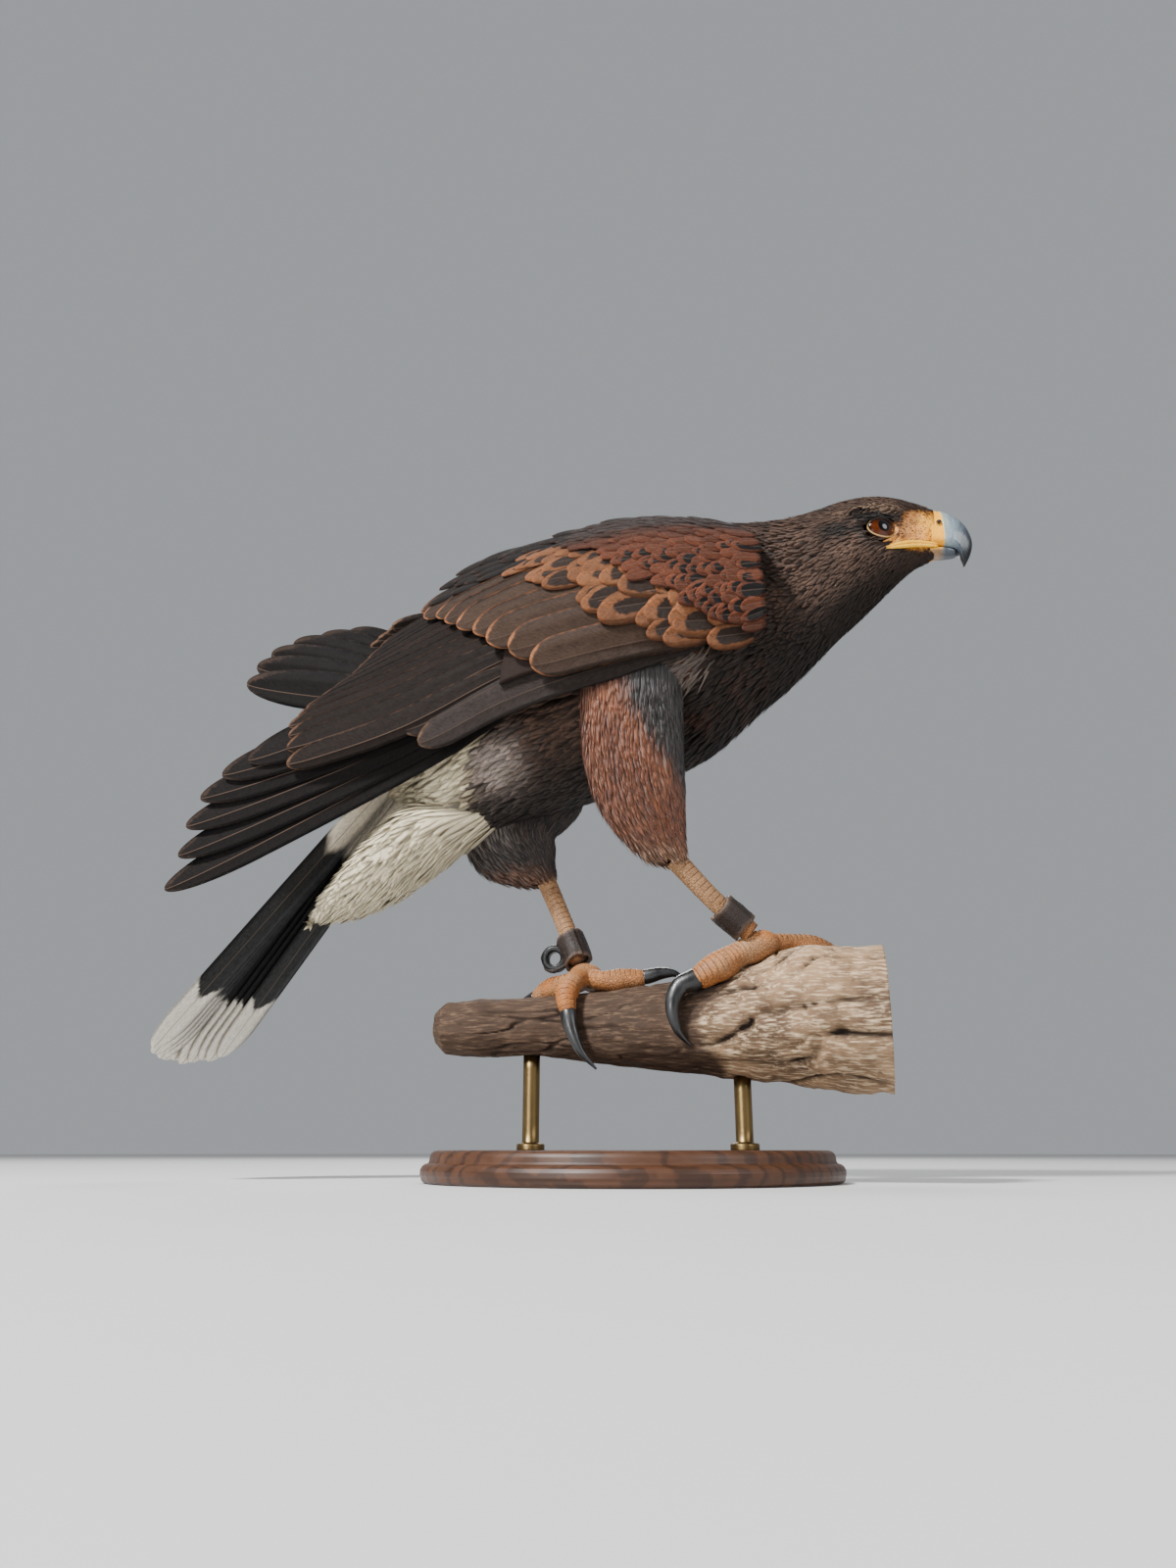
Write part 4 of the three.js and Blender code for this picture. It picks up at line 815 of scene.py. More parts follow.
def hoop(grid):
    """A closed skin over a grid of points that joins up both ways, as a ring's does."""
    number = np.arange(grid.shape[0] * grid.shape[1]).reshape(grid.shape[:2])
    ahead = np.roll(number, -1, 0)
    quads = np.stack([number, ahead, np.roll(ahead, -1, 1), np.roll(number, -1, 1)], -1).reshape(-1, 4)
    points = grid.reshape(-1, 3)
    return points, *faced_out(points, quads, np.zeros((0, 3), int))


lid_skin = Finish("lid_skin", Specular_IOR_Level=0.35)
lid_grain = lid_skin.cloud(lid_skin.place(), 1500.0, 3.0)
lid_tone = lid_skin.blend(lid_grain, "#8d683f", "#c19c66")
# Painted shadow of the brow: the lid's upper side goes nearly black.
lid_tone = lid_skin.blend(lid_skin.axis(lid_skin.attribute("upper"), 0), lid_tone, "#1a100b")
lid_skin.feed(Base_Color=lid_tone, Roughness=lid_skin.between(lid_grain, 0.3, 0.7, 0.45, 0.7))
lid_skin.bump(lid_grain, 0.0002, 0.5)

for name, side in sides.items():
    look = gaze(side)
    level = unit(np.cross(look, [0, 0, 1]))
    upright = np.cross(level, look)
    polar = np.radians(np.concatenate([[0.4], np.linspace(2, 178, 88), [179.6]]))[:, None, None]
    around = once_round(72)[None, :, None]
    ball = (eye_place * [1, side, 1] + eye_radius * (
        np.cos(polar) * look + np.sin(polar) * (np.cos(around) * level + np.sin(around) * upright)))
    reach = eye_radius * np.sin(polar) * np.where(polar < np.pi / 2, 1, 9) / iris_reach
    # The third value, how high on the ball a point lies, sets the painted shadow of the brow on the iris.
    eye_rows = np.concatenate(np.broadcast_arrays(reach, -side * np.cos(around), np.sin(around)), -1)
    eye_rows = with_ends(eye_rows, [0, 1, 0], [9, 1, 0])
    fit(surface_mesh(f"eye_{name}_glass", *shell(ball), {"iris": eye_rows}),
        glass_eye, "eye", f"eye_{name}")

    ring, bend = once_round(96)[:, None, None], once_round(14)[None, :, None]
    tall = np.where(np.sin(ring) > 0, lid_half[1], lid_half[2])
    lid_rim = 1 / np.sqrt(np.cos(ring) ** 2 / lid_half[0] ** 2 + np.sin(ring) ** 2 / tall ** 2)
    lid_reach = lid_rim + lid_tube * np.cos(bend)
    lid_front = np.sqrt(eye_radius ** 2 - lid_rim ** 2) + 0.25 + lid_tube * 0.9 * np.sin(bend)
    lid = (eye_place * [1, side, 1] + look * lid_front
           + lid_reach * (np.cos(ring) * level + np.sin(ring) * upright))

    # How far the lid lies under the brow, as the share of that painted shadow.
    upper_lid_shadow = held(np.sin(ring) * 1.6 + 0.3) + 0 * bend
    fit(surface_mesh(f"eyelid_{name}", *hoop(lid), {"upper": upper_lid_shadow * [1, 0, 0]}), lid_skin, "eye")


# Bill. Horn, blue-grey and darkening to the hooked tip, grown out of a swollen yellow cere that
# holds round nostrils. The lower half closes inside the upper, and yellow lips run back from it.
upper_bill_stations = [
    (160.6, 329, 159.2, 305.4, 8.6), (165.4, 327, 164.2, 305.2, 8.2), (170, 324.4, 168.4, 304.6, 7.2),
    (174.6, 320.8, 171, 303.4, 6), (177.9, 315, 172.2, 301.8, 4.7), (179.4, 308, 172.8, 299.4, 3.3),
    (178, 301.6, 173.4, 297.2, 1.9), (174.8, 295.4, 173.8, 294.9, 0.5)]
lower_bill_stations = [
    (156.4, 304.6, 156.4, 303.9, 5), (162, 304.8, 162, 301.9, 6), (166.6, 304.4, 166.8, 301.3, 5.1),
    (169.8, 303.6, 170, 301.3, 3.7), (171.4, 302.6, 171.3, 301.8, 1.6)]
nostril_place = (163.4, 8.2, 317.4)
nostril_radius, nostril_depth = 1.35, 1.9
lip_sizes = [0.55, 0.8, 0.8, 0.35]
cere_front = 1.0 / 7

upper_bill = Trunk(upper_bill_stations, 0.2, 2.3)
bill_u, bill_turn = grid_of(0, 1, 150, 120)
bill_points = upper_bill.place(bill_u, bill_turn)
cere_edge = cere_front + 0.03 * np.cos(np.radians(bill_turn)) ** 2 - 0.02 * np.sin(np.radians(bill_turn))
is_cere = held((cere_edge + 0.012 * cloud_at(bill_points, 1.6, 41) - bill_u) / 0.014 + 0.5)
to_nostril = np.sqrt(np.sum((np.abs(bill_points) - nostril_place) ** 2 * [1, 0, 1], -1)) / nostril_radius
in_nostril = np.exp(-to_nostril ** 4) * (bill_u < cere_edge)
nostril_lip = np.exp(-((to_nostril - 1.5) / 0.4) ** 2) * (bill_u < cere_edge) * 0.25
swelling = is_cere * (0.12 + 0.35 * np.sin(held(bill_u / cere_front) * np.pi * 0.8))
growth_lines = 0.05 * np.sin(bill_u * 70) * (1 - is_cere) * (1 - bill_u) ** 2
bill_rise = swelling + nostril_lip + growth_lines - nostril_depth * in_nostril
bill_points = raised(upper_bill, bill_u, bill_turn, bill_rise)[0]
# Painted shade: the underside of the upper bill, inside the mouth, is darkened.
mouth_underside_shade = np.clip((-np.sin(np.radians(bill_turn)) - 0.86) * 9, 0, 0.85)
# The third value is painted shade: near black in the sunk nostril and inside the mouth.
bill_rows = np.stack([is_cere, bill_u, np.maximum(held(2 * in_nostril), mouth_underside_shade)], -1)
bill_rows = with_ends(bill_rows, [1, 0, 0], [0, 1, 0])

horn = Finish("bill_horn", Coat_Roughness=0.12, Specular_IOR_Level=0.5)
horn_value = horn.attribute("bill")
cere_share, to_tip, nostril_and_mouth_shade = (horn.axis(horn_value, k) for k in range(3))
horn_grain = horn.cloud(horn.stretched(horn.place(), (500.0, 500.0, 160.0)), 1.0, 4.0)
cere_grain = horn.cloud(horn.place(), 700.0, 4.0, 0.6)
horn_colour = horn.node("ShaderNodeValToRGB", {
    "stops": [(0.1, "#9ba38f"), (0.26, "#78868e"), (0.5, "#39424c"), (0.78, "#0b0c0f")]}, {
    0: to_tip + (horn_grain - 0.5) * 0.3})
cere_colour = horn.blend(cere_grain, "#d98500", "#ffbe10")
cere_colour = horn.glaze(cere_colour, cere_grain, 0.62, 0.75, 0.5, "#b0600c")
bill_colour = horn.blend(cere_share, horn_colour, cere_colour)
# Painted shade: nostril and mouth near black.
bill_colour = horn.blend(nostril_and_mouth_shade, bill_colour, "#120a06")
horn_roughness = horn.between(cere_share, 0.0, 1.0, 0.26, 0.55) + horn_grain * 0.1 + nostril_and_mouth_shade * 0.4
horn_coat = horn.between(cere_share, 0.0, 1.0, 0.35, 0.05) * horn.between(to_tip, 0.45, 0.7, 1.0, 0.0)
horn.feed(Base_Color=bill_colour, Roughness=horn_roughness, Coat_Weight=horn_coat)
horn.bump(cere_grain * cere_share + horn_grain * 0.25, 0.0003, 0.5)
fit(surface_mesh("upper_bill_and_cere", *shell(bill_points), {"bill": bill_rows}),
    horn, "bill", "bill_upper")

lower_bill = Trunk(lower_bill_stations, 0.8, 2.4)
jaw_u, jaw_turn = grid_of(0, 1, 60, 72)
jaw_in = -0.5 * held(1 - jaw_u / 0.25) + 0 * jaw_turn
jaw_points = raised(lower_bill, jaw_u, jaw_turn, jaw_in)[0]
jaw_yellow = held(2.3 - 5.5 * jaw_u) * np.clip(np.sin(np.radians(jaw_turn)) * 2 + 1.2, 0.3, 1)
jaw_rows = with_ends(np.stack([jaw_yellow, 0.42 + 0.2 * jaw_u, 0 * jaw_u], -1), [0, 0.42, 0], [0, 0.6, 0])
fit(surface_mesh("lower_bill", *shell(jaw_points), {"bill": jaw_rows}), horn, "bill", "bill_lower")


def tube(stations, u, turn):
    """The skin of a limb through stations, and the middle of it behind each point."""
    limb = Limb(stations)
    skin_place = limb.place(u, turn)
    return skin_place, (skin_place + limb.place(u, turn + 180)) / 2


lip_flesh = Finish("yellow_lip", Specular_IOR_Level=0.4)
lip_grain = lip_flesh.cloud(lip_flesh.place(), 900.0, 3.0)
lip_flesh.feed(Base_Color=lip_flesh.blend(lip_grain, "#d08a10", "#ffc832"),
               Roughness=lip_flesh.between(lip_grain, 0.3, 0.7, 0.4, 0.65))
lip_flesh.bump(lip_grain, 0.0002, 0.5)
for name, side in sides.items():
    for above, lift in (("upper", 1.1), ("lower", -1.15)):
        line = [(x, (inset + 1.4 + 0.5 * k) * side, z + lift * size, 1.1 * size, 1.2 * size)
                for k, ((x, z, inset), size) in enumerate(zip(mouth_line, lip_sizes))]
        lip_u, lip_turn = grid_of(0, 1, 90, 24)
        lip, lip_middle = tube(line, lip_u, lip_turn)
        closing = np.sqrt(1 - np.clip(np.maximum((lip_u - 0.8) / 0.2, (0.14 - lip_u) / 0.14), 0, 0.995) ** 2)
        ripple = 1 + 0.05 * np.sin(lip_u * 46)
        lip = lip_middle + (lip - lip_middle) * (closing * ripple)[..., None]
        fit(surface_mesh(f"lip_{above}_{name}", *shell(lip)), lip_flesh, "bill")


# Legs, feet and claws. Tan scaly shanks, orange feet with a row of broad scales over each toe and
# soft pads below, and black polished claws, modelled from the bird's own cured feet.
tarsus_lines = {"R": [(26.4, -23, 144.4), (43, -19, 125.6), (59.5, -12, 110.4)],
                "L": [(-48.2, 22.3, 149.2), (-37.5, 17.5, 126), (-28, 12, 104)]}
tarsus_half = (4.3, 4.8)
palms = {"R": (64, -8.5, 105.6), "L": (-23.5, 8.5, 95.4)}
palm_half = (8.6, 7.4, 6.6)
digits = {  # the toe's places on the branch as x, turn about it and height, the claw's, and the toe's radius
    "R": {"hallux": ([(54, 113, 6.4), (43, 131, 7), (34, 142, 7.4)],
                     [(27, 149, 7.6), (24, 167, 6), (26, 189, 4), (31.5, 208, 1.6)], 6.4),
          "inner": ([(65, 68, 5.2), (67, 44, 5), (68, 23, 4.9)],
                    [(69, 9, 4.8), (69, -6, 4), (66, -20, 1.8)], 4.9),
          "middle": ([(75, 73, 5.2), (85, 54, 5), (93, 36, 4.8)],
                     [(98, 24, 5), (101, 9, 4.2), (100, -5, 1.6)], 4.8),
          "outer": ([(76, 90, 4.8), (88, 78, 4.6), (98, 66, 4.5)],
                    [(105, 58, 4.8), (110, 49, 3.6), (112, 40, 1.4)], 4.4)},
    "L": {"hallux": ([(-31, 82, 6), (-41, 66, 5.9), (-50, 49, 5.8)],
                     [(-57, 35, 5.6), (-60, 15, 5), (-57, -6, 2)], 5.4),
          "inner": ([(-25.5, 108, 5.8), (-27.5, 138, 5.4), (-25.5, 168, 5.2)],
                    [(-23.4, 190, 5.6), (-19.4, 211, 7.6), (-12.6, 227, 9.4)], 5),
          "middle": ([(-14, 90, 5.6), (-3, 87, 5.2), (8, 86, 4.9)],
                     [(15, 85, 5.6), (21, 84, 4.8), (26, 83, 1.6)], 4.8),
          "outer": ([(-17, 66, 5.2), (-12, 40, 5), (-9, 15, 4.8)],
                    [(-8, -4, 5), (-10, -21, 4), (-14, -37, 1.8)], 4.4)}}
scale_gap = 2.6
shank_length, shank_scale = 58, 3.4
foot_voxel = 0.00055

scaly = Finish("scaly_foot", Specular_IOR_Level=0.4)
foot_value = scaly.attribute("foot")
beads = scaly.node("ShaderNodeTexVoronoi", {"feature": "DISTANCE_TO_EDGE"}, {
    "Vector": scaly.place(), "Scale": 720.0, "Randomness": 0.9})
tint = scaly.cloud(scaly.place(), 160.0, 4.0)
orange = scaly.blend(tint, "#6e3d1b", "#bd7638")
tan = scaly.blend(tint, "#6a4a31", "#b08a62")
foot_colour = scaly.blend(scaly.axis(foot_value, 0), tan, orange)
foot_colour = scaly.blend(scaly.between(beads, 0.0, 0.12, 0.6, 0.0), foot_colour, "#54300f")
plates = scaly.axis(foot_value, 2)
in_plate = scaly.node("ShaderNodeMath", {"operation": "FRACT"}, {0: scaly.axis(foot_value, 1)})
crease = scaly.between(in_plate, 0.82, 0.95) * plates
foot_colour = scaly.blend(crease * 0.8, foot_colour, "#4a2408")
dirt = scaly.cloud(scaly.place(), 420.0, 5.0, 0.65)
foot_colour = scaly.glaze(foot_colour, dirt, 0.55, 0.72, 0.5, "#5d3a20")
scaly.feed(Base_Color=foot_colour, Roughness=scaly.between(tint, 0.3, 0.7, 0.5, 0.68))
grains = scaly.between(beads, 0.0, 0.2) * (1 - plates * 0.8)
scaly.bump(grains * 0.5 + plates * (1 - in_plate) * 0.9 - crease * 0.9, 0.0005, 0.9)

claw_horn = Finish("claw_horn", Coat_Roughness=0.08, Specular_IOR_Level=0.6)
claw_grain = claw_horn.cloud(claw_horn.stretched(claw_horn.place(), (300.0, 300.0, 90.0)), 1.0, 5.0)
claw_streaks = claw_horn.between(claw_grain, 0.45, 0.75)
claw_horn.feed(Base_Color=claw_horn.blend(claw_streaks, "#040405", "#15171a"),
               Roughness=claw_horn.between(claw_grain, 0.3, 0.7, 0.28, 0.5),
               Coat_Weight=claw_horn.between(claw_grain, 0.3, 0.7, 0.35, 0.1))
claw_horn.bump(claw_grain, 0.0002, 0.4)


def off_the_wood(points):
    """The way from the middle of the branch out to each point, square to its length."""
    height = branch_at(points[..., 0], 0)[0]
    return unit(np.stack([0 * height, points[..., 1], points[..., 2] - height], -1))


for name, side in sides.items():
    palm = np.array(palms[name], float)
    polar, around = grid_of(0.02, np.pi - 0.02, 30, 40)
    around = np.radians(around)
    foot_parts = [shell(palm + palm_half * np.stack([
        np.sin(polar) * np.cos(around), np.sin(polar) * np.sin(around), np.cos(polar)], -1))]
    shaft_u, shaft_turn = grid_of(0, 1, 120, 48)
    shaft, shaft_middle = tube([(*at, *tarsus_half) for at in tarsus_lines[name]], shaft_u, shaft_turn)
    scales = shaft_u * shank_length / shank_scale
    front = held(np.sin(np.radians(shaft_turn)) * 1.2 + 0.7)
    girth = 0.04 * np.cos(2 * np.pi * shaft_u) - 0.03
    shaft = shaft + (shaft - shaft_middle) * girth[..., None]
    shaft = shaft + unit(shaft - shaft_middle) * (front * (0.35 * (1 - scales % 1) ** 0.5))[..., None]
    shank_rows = np.stack([0.1 + 0.6 * held(shaft_u * 3 - 2), scales, front], -1)
    shank_rows = with_ends(shank_rows, [0.2, 0, 0], [0.6, 0, 0])
    fit(surface_mesh(f"shank_{name}", *shell(shaft), {"foot": shank_rows}),
        scaly, "leg_skin", f"tarsus_{name}")

    claw_parts, samples = [], []
    for digit, (toe, claw, radius) in digits[name].items():
        path = [palm, *(on_branch(*place) for place in toe), *(on_branch(*place) for place in claw)]
        toe_share = len(toe) / (len(path) - 1) + 0.03
        knuckles = [(*at, *[radius * (1 + 0.07 * (-1) ** k)] * 2) for k, at in enumerate(path)]
        toe_u, toe_turn = grid_of(0, toe_share, 90, 32)
        toe_skin, toe_middle = tube(knuckles, toe_u, toe_turn)
        toe_out = unit(toe_skin - toe_middle)
        lower_side = held(-np.sum(toe_out * off_the_wood(toe_middle), -1))
        done = toe_u / toe_share
        slimmer = 1 - 0.3 * held((done - 0.55) / 0.45) ** 1.3
        end_round = np.sqrt(1 - np.clip((done - 0.84) / 0.16, 0, 0.97) ** 2)
        girth = length_of(toe_skin - toe_middle) * slimmer * end_round
        pads = np.sin(done * 3 * np.pi) ** 2 * lower_side * end_round
        foot_parts.append(shell(toe_middle + toe_out * (girth + pads)[..., None]))
        line = along(path, np.linspace(0, toe_share, 60))
        strides = np.linalg.norm(np.diff(line, axis=0), axis=1)
        samples.append((line, np.concatenate([[0], np.cumsum(strides)]), unit(np.gradient(line, axis=0))))

        share = held((np.arange(len(path)) / (len(path) - 1) - toe_share) / (1 - toe_share))
        size = radius * 0.66 * (1 - share ** 1.3) + 0.4 * share ** 1.3
        claw_stations = [(*at, s, s * 1.15) for at, s in zip(path, size)]
        claw_parts.append(shell(Limb(claw_stations).place(*grid_of(toe_share - 0.05, 1, 50, 28))))

    foot_mesh = fused(f"scaly_foot_{name}", foot_parts, foot_voxel, 1)
    foot_points = mesh_points(foot_mesh)
    line, lengths, runs = (np.concatenate(rows) for rows in zip(*samples))
    nearest = np.argmin(np.sum((foot_points[:, None] - line) ** 2, -1), 1)
    apart = foot_points - line[nearest]
    from_palm = lengths[nearest] + np.sum(apart * runs[nearest], -1)
    upper_side = held(np.sum(unit(apart) * off_the_wood(line[nearest]), -1) * 1.8 + 0.1)
    upper_side = upper_side * held((from_palm - 6) / 3)
    scales = from_palm / scale_gap
    step = upper_side * (0.5 * (1 - scales % 1) ** 0.7 - 0.1)
    foot_points = foot_points + unit(apart) * step[:, None]
    set_places(foot_mesh, foot_points)
    flush = np.clip(0.6 + 0.6 * cloud_at(foot_points, 9, 2), 0.15, 1)
    set_values(foot_mesh, {"foot": np.stack([flush, scales, upper_side], -1)})
    fit(foot_mesh, scaly, "foot_skin", f"foot_{name}")
    fit(surface_mesh(f"claws_{name}", *merged(claw_parts)),
        claw_horn, "claw", *(f"claw_{name}_{digit}" for digit in digits[name]))


# Body feathers. Small overlapping feathers cover the skin from the forehead back, tiny on the
# face, pointed and streaked on the neck, broad and soft on the breast and back.
feather_seed = 20
bake_patch = 0.003
clump_light, worn_light = (0.6, 0.57, 0.55, 1), (0.95, 0.8, 0.66, 1)
barb_light = (0.68, 0.62, 0.58, 1)
armpit_spots, armpit_reach = [(33, -45, 246), (20, -46, 243), (44, -43, 244)], (9, 30, 8)

ring_places = {  # how far to the side each point of a feather's section is, and 1 where it lies below
    3: (np.array([-1, 0, 1, 0.0]), np.array([0, 0, 0, 1.0])),
    5: (np.array([-1, -0.5, 0, 0.5, 1, 0.5, 0, -0.5]), np.array([0, 0, 0, 0, 0, 1, 1, 1.0])),
    7: (np.array([-1, -0.55, -0.06, 0, 0.06, 0.55, 1, 0.55, 0.0, -0.55]),
        np.array([0, 0, 0, 0, 0, 0, 0, 1, 1, 1.0]))}


def feather_faces(count, rows, ring):
    """Faces of that many closed feathers of rows rings of points each: quads round and along them,
    and the first and last ring closed by quads and triangles across."""
    number = np.arange(rows * ring).reshape(rows, ring)
    ahead = np.roll(number, -1, 1)
    quads = [np.stack([number[:-1], ahead[:-1], ahead[1:], number[1:]], -1).reshape(-1, 4)]
    triangles = []
    for row, turn_round in ((number[0], True), (number[-1], False)):
        low, high = 0, ring - 1
        while high - low >= 3:
            quad = [row[low], row[low + 1], row[high - 1], row[high]]
            quads.append([quad[::-1] if turn_round else quad])
            low, high = low + 1, high - 1
        if high - low == 2:
            corner = [row[low], row[low + 1], row[high]]
            triangles.append(corner[::-1] if turn_round else corner)
    quads = np.concatenate(quads)
    triangles = np.array(triangles, int).reshape(-1, 3)
    step = (np.arange(count) * rows * ring)[:, None, None]
    return (quads + step).reshape(-1, 4), (triangles + step).reshape(-1, 3)


def outline(u, blunt=0.72, base=0.35):
    """Half width of a feather along its length, as a share of its widest: it opens in an eased step
    from base at the root, and closes in an ellipse past blunt."""
    opening = base + (1 - base) * held(u / 0.3) ** 0.7
    closing = np.sqrt(np.clip(1 - (held(u - blunt) / (1.001 - blunt)) ** 2, 0.0015, 1))
    return opening * closing


def scattered_roots(surface, start, end, gap, draw, squeeze=1.0, turns=(0, 360)):
    """Roots in staggered rings over a form: rings a gap apart along it, each with as many roots as its
    girth holds, and each root moved by a seeded part of the gap."""
    places, angles = [], []
    u, row = start, 0
    around, span = np.linspace(*turns, 60), turns[1] - turns[0]
    while u < end:
        ring = surface.place(np.full(60, u), around)
        girth = np.linalg.norm(np.diff(ring, axis=0), axis=1).sum()
        count = max(3, int(girth / (gap * squeeze)))
        stagger = 0.5 * (row % 2) + draw.uniform(-0.3, 0.3, count)
        angles.append(turns[0] + (np.arange(count) + stagger) * span / count)
        reach = length_of(slopes(surface, np.full(60, u), around)[0]).mean()
        places.append(u + draw.uniform(-0.35, 0.35, count) * gap / reach)
        u, row = u + gap / reach, row + 1
    return np.concatenate(places), np.concatenate(angles)


def vane_of(steps, side, offset, length, blunt):
    """Where each point lies on its feather: millimetres to the side and from the root, and how near it
    is to the rim, 0 on the shaft and 1 at the edge and the tip."""
    tipward = held((steps - blunt) / (1 - blunt))[None, :, None] + 0 * offset
    rim = (np.abs(side) ** 3 + tipward ** 3) ** (1 / 3)
    return np.stack([offset, (steps * length[:, None])[..., None] + 0 * offset, rim], -1)


def patch_of(steps, side, offset):
    """Each point's place on a flat feather of length and width 1, from its middle."""
    return np.stack([side / 2 + 0 * offset, steps[None, :, None] - 0.5 + 0 * offset], -1)


def lay_feathers(surface, u, turn, length, width, low, high, lean=0.0, rows=6, across=3, camber=0.35,
                 thickness=0.5, blunt=0.6, base=0.35, loose=0.0):
    """Feathers that follow a form. Each middle line walks over the form from its root, a step for each
    row, turned by lean degrees from straight back. Every point lies at a height over the form that
    goes from low at the root to high at the tip, less camber at the edges and thickness below."""
    count = len(u)
    side, below = ring_places[across]
    steps = 1 - (1 - np.linspace(0, 1, rows)) ** 1.35
    length, width, low, high, lean, loose = (
        np.broadcast_to(np.asarray(v, float), (count,)) for v in (length, width, low, high, lean, loose))
    heading = np.radians(lean)
    path_u, path_turn = [u], [turn]
    for k in range(rows - 1):
        by_length, by_turn = slopes(surface, path_u[-1], path_turn[-1])
        stride = length * (steps[k + 1] - steps[k])
        path_u.append(path_u[-1] + stride * np.cos(heading) / length_of(by_length))
        path_turn.append(path_turn[-1] + stride * np.sin(heading) / length_of(by_turn))
    mid_u, mid_turn = np.stack(path_u, 1), np.stack(path_turn, 1)
    by_length, by_turn = slopes(surface, mid_u, mid_turn)
    offset = (width[:, None] / 2 * outline(steps, blunt, base))[:, :, None] * side
    sideways, forward = (part[:, None, None] for part in (np.cos(heading), np.sin(heading)))
    all_u = mid_u[..., None] - offset * forward / length_of(by_length)[..., None]
    all_turn = mid_turn[..., None] + offset * sideways / length_of(by_turn)[..., None]
    rise = low[:, None] + (high - low)[:, None] * steps ** 0.75 + loose[:, None] * steps ** 3
    crown = camber * width[:, None, None] * 0.12 * (1 - side ** 2) * outline(steps, blunt, base)[:, None]
    body = thickness * below * np.clip(1.3 - steps, 0.15, 1)[:, None]
    points = raised(surface, all_u, all_turn, rise[..., None] + crown - body)[0]
    root = np.stack([turn / 360 % 1, u], -1)[:, None, None] * 0.99 + bake_patch
    bake = held(root + bake_patch * patch_of(steps, side, offset))
    return {"points": points, "vane": vane_of(steps, side, offset, length, blunt), "bake": bake}


def feather_mesh(name, laid, ground, edge, fringe, keep=None):
    """The mesh of laid feathers with a ground colour, an edge colour and the width of its fringe."""
    count = len(laid["points"])
    keep = np.ones(count, bool) if keep is None else keep
    points = laid["points"][keep]

    def each_point(colours, last):
        rows = np.concatenate([colours, np.broadcast_to(last, (count,))[:, None]], 1)[keep]
        return np.broadcast_to(rows[:, None, None], (*points.shape[:3], 4))

    values = {"vane": laid["vane"][keep], "ground": each_point(ground, 1), "fringe": each_point(edge, fringe)}
    return surface_mesh(name, points, *feather_faces(*points.shape[:3]), values, laid["bake"][keep])


def barbs_of(finish, wobble_scale, spread, barb_turns, clump_stretch):
    """A feather's own pattern: how far a point is from the shaft, how near the rim, a slow wobble, the
    fine waves of its barbs, which run out and forward, and the clumps that they stick together in."""
    across, down, rim = (finish.axis(finish.attribute("vane", "Vector"), k) for k in range(3))
    wobble = finish.cloud(finish.place(), wobble_scale, 3.0)
    side = abs(across)
    barb_place = down - side * 1.3 + wobble * spread
    stretched = {0: barb_place * clump_stretch[0], 1: side * clump_stretch[1], 2: across}
    clumps = finish.cloud(finish.node("ShaderNodeCombineXYZ", {}, stretched), 1.0, 3.0)
    return side, rim, wobble, finish.wave(barb_place * barb_turns), clumps


def feather_finish(name, shaft, barb_width, barb_depth, sheen=0.05, spread=0.6, worn=0.2, shade=0.4,
                   gloss=0.18):
    """A feather's surface: ground colour inside, edge colour in the fringe, a shaft line down the
    middle, and barbs that show in colour, gloss and bump."""
    finish = Finish(name, Specular_IOR_Level=gloss, Sheen_Weight=sheen, Sheen_Roughness=0.4)
    side, rim, wobble, barbs, clumps = barbs_of(finish, 320.0, spread, 6.283 / barb_width, (0.9, 0.12))
    fringe = finish.attribute("fringe", "Alpha")
    mask = finish.between(rim + (wobble - 0.5) * 0.3, 1.0 - fringe, 1.12 - fringe)
    tone = finish.blend(mask, finish.attribute("ground"), finish.attribute("fringe"))
    patches = finish.cloud(finish.place(), 190.0, 2.0)
    tone = finish.glaze(tone, clumps, 0.35, 0.75, 0.75, (shade, shade, shade, 1), "MULTIPLY")
    tone = finish.glaze(tone, patches, 0.3, 0.7, 0.45, clump_light, "MULTIPLY")
    tone = finish.glaze(tone, barbs, -1.0, 1.0, 0.3, barb_light, "MULTIPLY")
    tone = finish.glaze(tone, rim, 0.86, 0.97, worn, worn_light, "OVERLAY")
    quill = finish.between(side, 0.16, 0.34, shaft, 0.0)
    tone = finish.blend(quill, tone, "#5e4c40")
    finish.feed(Base_Color=tone, Roughness=finish.between(clumps + barbs * 0.1, 0.2, 0.8, 0.5, 0.78))
    finish.bump(barbs * 0.5 + clumps * 0.9 + quill * 1.5, barb_depth, 0.8)
    return finish


def same(shade, count):
    """One colour for each of that many feathers."""
    return np.broadcast_to(shade, (count, 3))


def varied(colours, draw, amounts):
    """Each feather's colours made a little lighter or darker, by seeded shares of up to those amounts."""
    return [part * (1 + draw.uniform(-amount, amount, len(part)))[:, None]
            for part, amount in zip(colours, amounts)]


down_barbs = {"shaft": 0.0, "barb_width": 0.35, "barb_depth": 0.0003, "sheen": 0.3, "spread": 1.2,
              "worn": 0.1}
soft_feather = feather_finish("soft_feather", shaft=0.12, barb_width=0.5, barb_depth=0.0003, shade=0.6)
downy = feather_finish("downy_feather", **down_barbs, shade=0.72)
white_down = feather_finish("white_down", **down_barbs, shade=0.92)
body_draw = np.random.default_rng(feather_seed)


